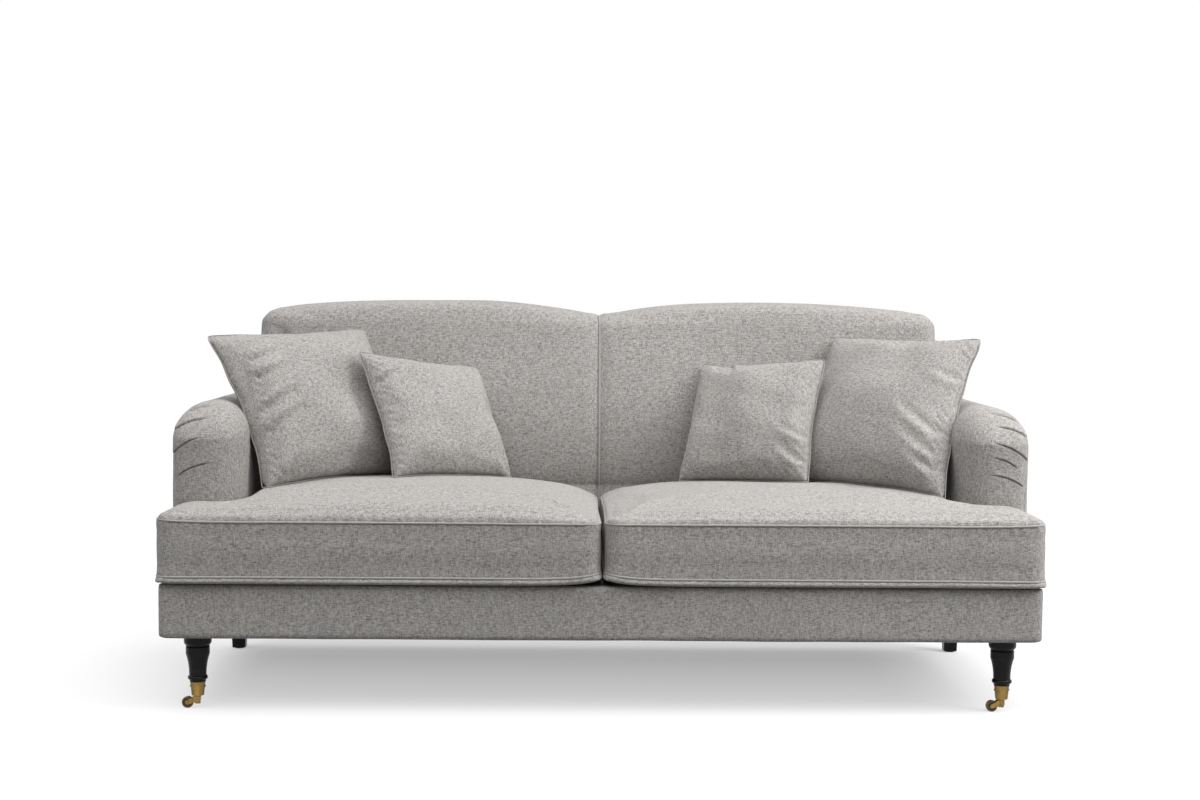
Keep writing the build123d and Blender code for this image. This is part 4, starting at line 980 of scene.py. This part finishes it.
class SOFA_OT_covered_panels(bpy.types.Operator):
    """Makes the padded front border and the covered outer sides and back"""

    bl_idname = "sofa.covered_panels"
    bl_label = "Border and panels"

    def close_back(self, piece):
        """Draws the outer back's edges out over the joints with the arms."""
        outward, margin = 0.020, 0.03
        points = get_points(piece)
        across, height = np.abs(points[:, 0]), points[:, 2]
        arm_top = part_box("left_arm_pad")[1][2]
        base_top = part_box("front_border")[1][2]
        edge = across[(height > base_top + 0.1) & (height < arm_top)].max()
        share = eased((across - edge + margin) / margin) * eased((arm_top - height) / margin)
        share *= eased((height - base_top) / 0.01)
        points[:, 0] += np.sign(points[:, 0]) * outward * share
        set_points(piece, points)

    def execute(self, context):
        panels = [("front_border", "front_border_cover", 0.006, (1, 1, 1)),
                  ("outer_back_panel", "outer_back_cover", 0.010, (1, 4, 1))]
        for side, _ in SIDES:
            panels.append((f"{side}_outer_side_panel", f"{side}_outer_side_cover", 0.009, (3, 1, 1)))
        for number, (node, name, voxel, stretch) in enumerate(panels):
            piece = skin_of(node, name, voxel, stretch, 2)
            push(piece, 0.0007 * waves_of(get_points(piece), 0.20, 41 + number))
            if node == "outer_back_panel":
                self.close_back(piece)
            upholster(piece, "sofa_frame", 0.95, node)
        return {"FINISHED"}


def sewn_square(name, side, thick, cells, seed):
    """Two squares of cloth sewn together round their drawn-in edges and stuffed to a crown."""
    drawn_in, blunt, uneven, wavy = 0.048, 0.035, 0.16, 0.009
    steps = np.linspace(-1, 1, cells + 1)
    points, faces = [], []
    front = np.zeros((cells + 1, cells + 1), dtype=int)
    rear = np.zeros((cells + 1, cells + 1), dtype=int)
    for i, across in enumerate(steps):
        for j, up in enumerate(steps):
            lift = thick / 2 * ((1 - across * across) * (1 - up * up)) ** 0.5
            tip = side / 2 * (1 - blunt * (across * up) ** 12)
            place = (tip * across * (1 - drawn_in * (1 - up * up)),
                     tip * up * (1 - drawn_in * (1 - across * across)))
            front[i, j] = len(points)
            points.append((*place, lift))
            rear[i, j] = front[i, j]
            if abs(across) < 1 and abs(up) < 1:
                rear[i, j] = len(points)
                points.append((*place, -lift))
    for i in range(cells):
        for j in range(cells):
            faces.append((front[i, j], front[i + 1, j], front[i + 1, j + 1], front[i, j + 1]))
            faces.append((rear[i, j], rear[i, j + 1], rear[i + 1, j + 1], rear[i + 1, j]))
    mesh = bpy.data.meshes.new(name)
    mesh.from_pydata(points, [], [[int(v) for v in face] for face in faces])
    piece = new_piece(name, mesh)
    points = np.array(points)
    points[:, 2] *= 1 + uneven * waves_of(points, side / 2.2, seed)
    points[:, :2] *= 1 + wavy * waves_of(points, side / 5, seed + 10)[:, None]
    set_points(piece, points)
    ring = [front[i, 0] for i in range(cells)] + [front[cells, j] for j in range(cells)]
    ring += [front[i, cells] for i in range(cells, 0, -1)] + [front[0, j] for j in range(cells, 0, -1)]
    return piece, [int(v) for v in ring]


class SOFA_OT_scatter_cushions(bpy.types.Operator):
    """Makes the four scatter cushions from sewn squares of cloth"""

    bl_idname = "sofa.scatter_cushions"
    bl_label = "Scatter cushions"

    large_side, seam_radius = 0.420, 0.0014
    # Size, thickness, cells along a side and turn (yaw, lean back, roll) of each cushion
    cushions = {
        "left_large": (large_side, 0.138, 56, (46, 29, -4)),
        "right_large": (large_side, 0.138, 56, (43, 36, -3)),
        "left_small": (0.332, 0.112, 46, (40, 33, -6)),
        "right_small": (0.332, 0.112, 46, (30, 31, -5)),
    }

    # Creases on the front of each cushion, from a place at its edge inwards, in halves of its side
    creases = {
        "left_large": (((-0.95, 0.40), (-0.36, 0.56)), ((-0.94, 0.18), (-0.48, 0.32)),
                       ((-0.94, -0.20), (-0.42, 0.04)), ((-0.94, -0.46), (-0.36, -0.16)),
                       ((-0.76, -0.95), (-0.58, -0.66))),
        "right_large": (((0.95, 0.34), (0.60, 0.44)), ((0.95, -0.40), (0.30, 0.04)),
                        ((0.96, -0.66), (0.50, -0.36)), ((0.97, -0.84), (0.60, -0.56))),
        "left_small": (((-0.95, 0.52), (-0.50, 0.72)), ((0.02, -0.95), (0.08, -0.42)),
                       ((0.88, -0.94), (0.66, -0.56))),
        "right_small": (((-0.41, 0.95), (-0.32, 0.60)), ((0.95, -0.42), (0.52, -0.26)),
                        ((0.90, -0.80), (0.50, -0.46))),
    }
    # How far single corners are drawn out in the cushion's own plane
    corners = {
        "left_large": {(-1, 1): (-0.060, -0.045)},
        "right_large": {(-1, 1): (0.0, 0.018), (1, -1): (0.034, 0.0)},
        "left_small": {(-1, 1): (-0.014, 0.013)},
        "right_small": {},
    }

    def turn(self, sign, yaw, lean, roll):
        degrees = math.radians
        return (Matrix.Rotation(degrees(-sign * yaw), 4, "Z") @ Matrix.Rotation(degrees(90 - lean), 4, "X")
                @ Matrix.Rotation(degrees(-sign * roll), 4, "Z"))

    def shape(self, piece, side, thick, corners):
        """Brings the stuffed square to its size and draws out its corners."""
        points = get_points(piece)
        points -= (points.max(axis=0) + points.min(axis=0)) / 2
        points *= np.array((side, side, thick)) / (points.max(axis=0) - points.min(axis=0))
        moves = np.zeros((len(points), 2))
        for corner, move in corners.items():
            nearness = np.clip((1 + points[:, :2] * np.array(corner) * 2 / side) / 2, 0, 1).prod(axis=1)
            moves += (nearness ** 1.3)[:, None] * np.array(move)
        points[:, :2] += moves
        set_points(piece, points)

    def rest(self, piece, ring, seat, side):
        """Lets the lower part down until its seam lies on the seat."""
        place = np.array(piece.matrix_world)
        points = get_points(piece)
        world = points @ place[:3, :3].T + place[:3, 3]
        edge_share, clearance, most_lift, most_drop = 0.42, 0.002, 0.02, 0.05
        low = [index for index in ring if points[index, 1] < -edge_share * side]
        low.sort(key=lambda index: points[index, 0])
        gaps = []
        for index in low:
            hit = seat.ray_cast(Vector(world[index]) + Vector((0, 0, 0.1)), Vector((0, 0, -1)))
            gap = world[index][2] - hit[0][2] if hit[0] is not None else 0.0
            gaps.append(min(max(gap - clearance, -most_lift), most_drop))
        drop = np.interp(points[:, 0], points[low, 0], gaps)
        world[:, 2] -= drop * eased((-points[:, 1] / side - 0.05) / edge_share)
        set_points(piece, (world - place[:3, 3]) @ place[:3, :3])

    def pull(self, piece, side, creases, softness, seed):
        """Draws the creases into the front, dents it a little and gathers the cloth beside the seam."""
        points = get_points(piece)
        front = points[:, 2] > 0
        height = np.zeros(len(points))
        width = 0.07 * side / 2
        for start, end in creases:
            aside, along = track(points[:, :2], np.array(start) * side / 2, np.array(end) * side / 2, 0.06)
            fade = np.clip(along / 0.15 + 0.4, 0, 1) * np.clip(1 - along, 0, 1) ** 1.3
            height += fade * 2.3 * aside / width * bell(aside, width)
        height *= softness.crease
        inset = side / 2 - np.abs(points[:, :2]).max(axis=1)
        gathers = gathers_of(points, 0.021, 3 * waves_of(points, 0.1, seed))
        height += 1.6 * softness.pucker * gathers * bell(inset - 0.014, 0.012)
        height += 0.004 * waves_of(points, side / 3, seed + 1) * eased(inset / 0.06)
        across, up = np.clip(points[:, :2].T / side + 0.5, 0, 1)
        belly = np.sin(math.pi * up ** 0.72) * np.sqrt(np.sin(math.pi * across))
        height += softness.sag * side / self.large_side * belly
        points[:, 2] += height * front
        set_points(piece, points)

    def execute(self, context):
        softness = context.scene.sofa_softness
        seats = {side: surface_of(bpy.data.objects[f"{side}_seat_cushion"]) for side, _ in SIDES}
        for number, (word, (side, thick, cells, turn)) in enumerate(self.cushions.items()):
            hand = word.split("_")[0]
            sign = -1 if hand == "left" else 1
            name = f"{word}_cushion"
            piece, ring = sewn_square(name, side, thick, cells, 50 + number)
            pressure = 1.6 * softness.pressure
            puff(piece, pressure, softness.scatter_swell, frames=12, mass=0.15, stiffness=20.0)
            self.shape(piece, side, thick, self.corners[word])
            low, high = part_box(f"{name}_cover")
            piece.matrix_world = Matrix.Translation((low + high) / 2) @ self.turn(sign, *turn)
            bpy.context.view_layer.update()
            self.rest(piece, ring, seats[hand], side)
            cord = seam_cord(f"{name}_seam", [get_points(piece)[ring]], self.seam_radius)
            cord.matrix_world = piece.matrix_world
            divide(piece)
            self.pull(piece, side, self.creases[word], softness, 60 + 2 * number)
            upholster(piece, name, 0.65, f"{name}_cover", f"{name}_fill")
            pipe(cord, name)
        return {"FINISHED"}


class SOFA_OT_stage(bpy.types.Operator):
    """Sets the camera, the pale floor and the soft studio light"""

    bl_idname = "sofa.stage"
    bl_label = "Stage"

    def camera(self, context, stage):
        data = bpy.data.cameras.new("camera")
        data.sensor_fit = "HORIZONTAL"
        data.sensor_width = 36
        data.lens = stage.lens
        camera = new_piece("camera", data)
        yaw, pitch, roll = stage.camera_turn
        aim = Matrix.Rotation(-yaw, 4, "Z") @ Matrix.Rotation(math.pi / 2 - pitch, 4, "X")
        aim = aim @ Matrix.Rotation(roll, 4, "Z")
        camera.matrix_world = Matrix.Translation(stage.camera_place) @ aim
        context.scene.camera = camera

    def floor(self, stage):
        mesh = bpy.data.meshes.new("floor")
        reach = 60.0
        corners = [(-reach, -reach, 0), (reach, -reach, 0), (reach, reach, 0), (-reach, reach, 0)]
        mesh.from_pydata(corners, [], [(0, 1, 2, 3)])
        floor = new_piece("floor", mesh)
        material, tree, shader = new_material("floor")
        tone = noise(tree, object_place(tree), 3.0)
        light, dark = rgba(stage.floor), rgba(stage.floor, 0.985)
        seen = rays_seen(tree)
        colour = mixed(tree, seen, rgba(stage.floor, stage.floor_bounce), mixed(tree, tone, dark, light))
        set_sockets(shader, Base_Color=colour, Roughness=0.9, Specular_IOR_Level=0.0)
        # Painted light: the floor's white glow lifts the sofa's shadow, more under its front than further
        # back.
        depth = put(tree, "ShaderNodeSeparateXYZ", {0: object_place(tree)}).outputs["Y"]
        fade = ranged(tree, depth, -0.42, 0.25, stage.floor_glow_front, stage.floor_glow)
        share = maths(tree, "MULTIPLY", seen, fade)
        glow = put(tree, "ShaderNodeEmission", {"Color": (1, 1, 1, 1), "Strength": 1.0})
        both = put(tree, "ShaderNodeMixShader", {0: share, 1: shader.outputs[0], 2: glow.outputs[0]})
        feed(tree.nodes["Material Output"], {"Surface": both.outputs[0]})
        dress(floor, material)

    def lamp(self, name, kind, strength, place, aim=(0, 0, 0), **shape):
        """A lamp turned from its place to its aim; for a sun only the way between them counts."""
        data = bpy.data.lights.new(name, kind)
        data.energy = strength
        for key, value in shape.items():
            setattr(data, key, value)
        lamp = new_piece(name, data)
        turn = (Vector(place) - Vector(aim)).to_track_quat("Z", "Y").to_matrix().to_4x4()
        lamp.matrix_world = Matrix.Translation(place) @ turn

    def world(self, context, stage):
        world = bpy.data.worlds.new("studio")
        world.use_nodes = True
        context.scene.world = world
        tree = world.node_tree
        strength = ranged(tree, rays_seen(tree), 0, 1, stage.sky, 1.0)
        feed(tree.nodes["Background"], {"Color": (1, 1, 1, 1), "Strength": strength})

    def execute(self, context):
        stage = context.scene.sofa_stage
        context.scene.view_settings.view_transform = "Standard"
        self.camera(context, stage)
        self.floor(stage)
        middle, box_size = (0.0, 0.0, 0.5), 1.6
        self.lamp("overhead", "SUN", stage.key, (0.05, -0.23, 1.0), angle=math.radians(80))
        self.lamp("front_fill", "SUN", stage.fill, (0.25, -1.0, 0.35), angle=math.radians(60))
        self.lamp("right_box", "AREA", stage.side, (2.9, -1.0, 2.2), middle, size=box_size)
        self.lamp("left_box", "AREA", stage.far_side, (-2.9, -1.0, 2.2), middle, size=box_size)
        self.world(context, stage)
        return {"FINISHED"}


class SOFA_PT_builder(bpy.types.Panel):
    """Buttons for each group of pieces and their settings"""

    bl_idname = "SOFA_PT_builder"
    bl_label = "Roll-arm sofa"
    bl_space_type = "VIEW_3D"
    bl_region_type = "UI"
    bl_category = "Sofa"

    def draw(self, context):
        for settings in SETTINGS:
            box = self.layout.box()
            group = getattr(context.scene, settings)
            for name in group.__annotations__:
                box.prop(group, name)
        for operator in OPERATORS:
            self.layout.operator(operator.bl_idname)


SETTINGS = {
    "sofa_fabric": SofaFabric,
    "sofa_finishes": SofaFinishes,
    "sofa_softness": SofaSoftness,
    "sofa_stage": SofaStage,
}
OPERATORS = (
    SOFA_OT_stage,
    SOFA_OT_frame_finishes,
    SOFA_OT_seat_cushions,
    SOFA_OT_arms,
    SOFA_OT_back,
    SOFA_OT_covered_panels,
    SOFA_OT_scatter_cushions,
)
CLASSES = (*SETTINGS.values(), *OPERATORS, SOFA_PT_builder)


def register():
    for kind in CLASSES:
        bpy.utils.register_class(kind)
    for name, kind in SETTINGS.items():
        setattr(bpy.types.Scene, name, bpy.props.PointerProperty(type=kind))


def unregister():
    for name in SETTINGS:
        delattr(bpy.types.Scene, name)
    for kind in reversed(CLASSES):
        bpy.utils.unregister_class(kind)


def main():
    register()
    bpy.ops.sofa.stage()
    bpy.ops.sofa.frame_finishes()
    bpy.ops.sofa.seat_cushions()
    bpy.ops.sofa.arms()
    bpy.ops.sofa.back()
    bpy.ops.sofa.covered_panels()
    bpy.ops.sofa.scatter_cushions()


if __name__ == "__main__":
    main()
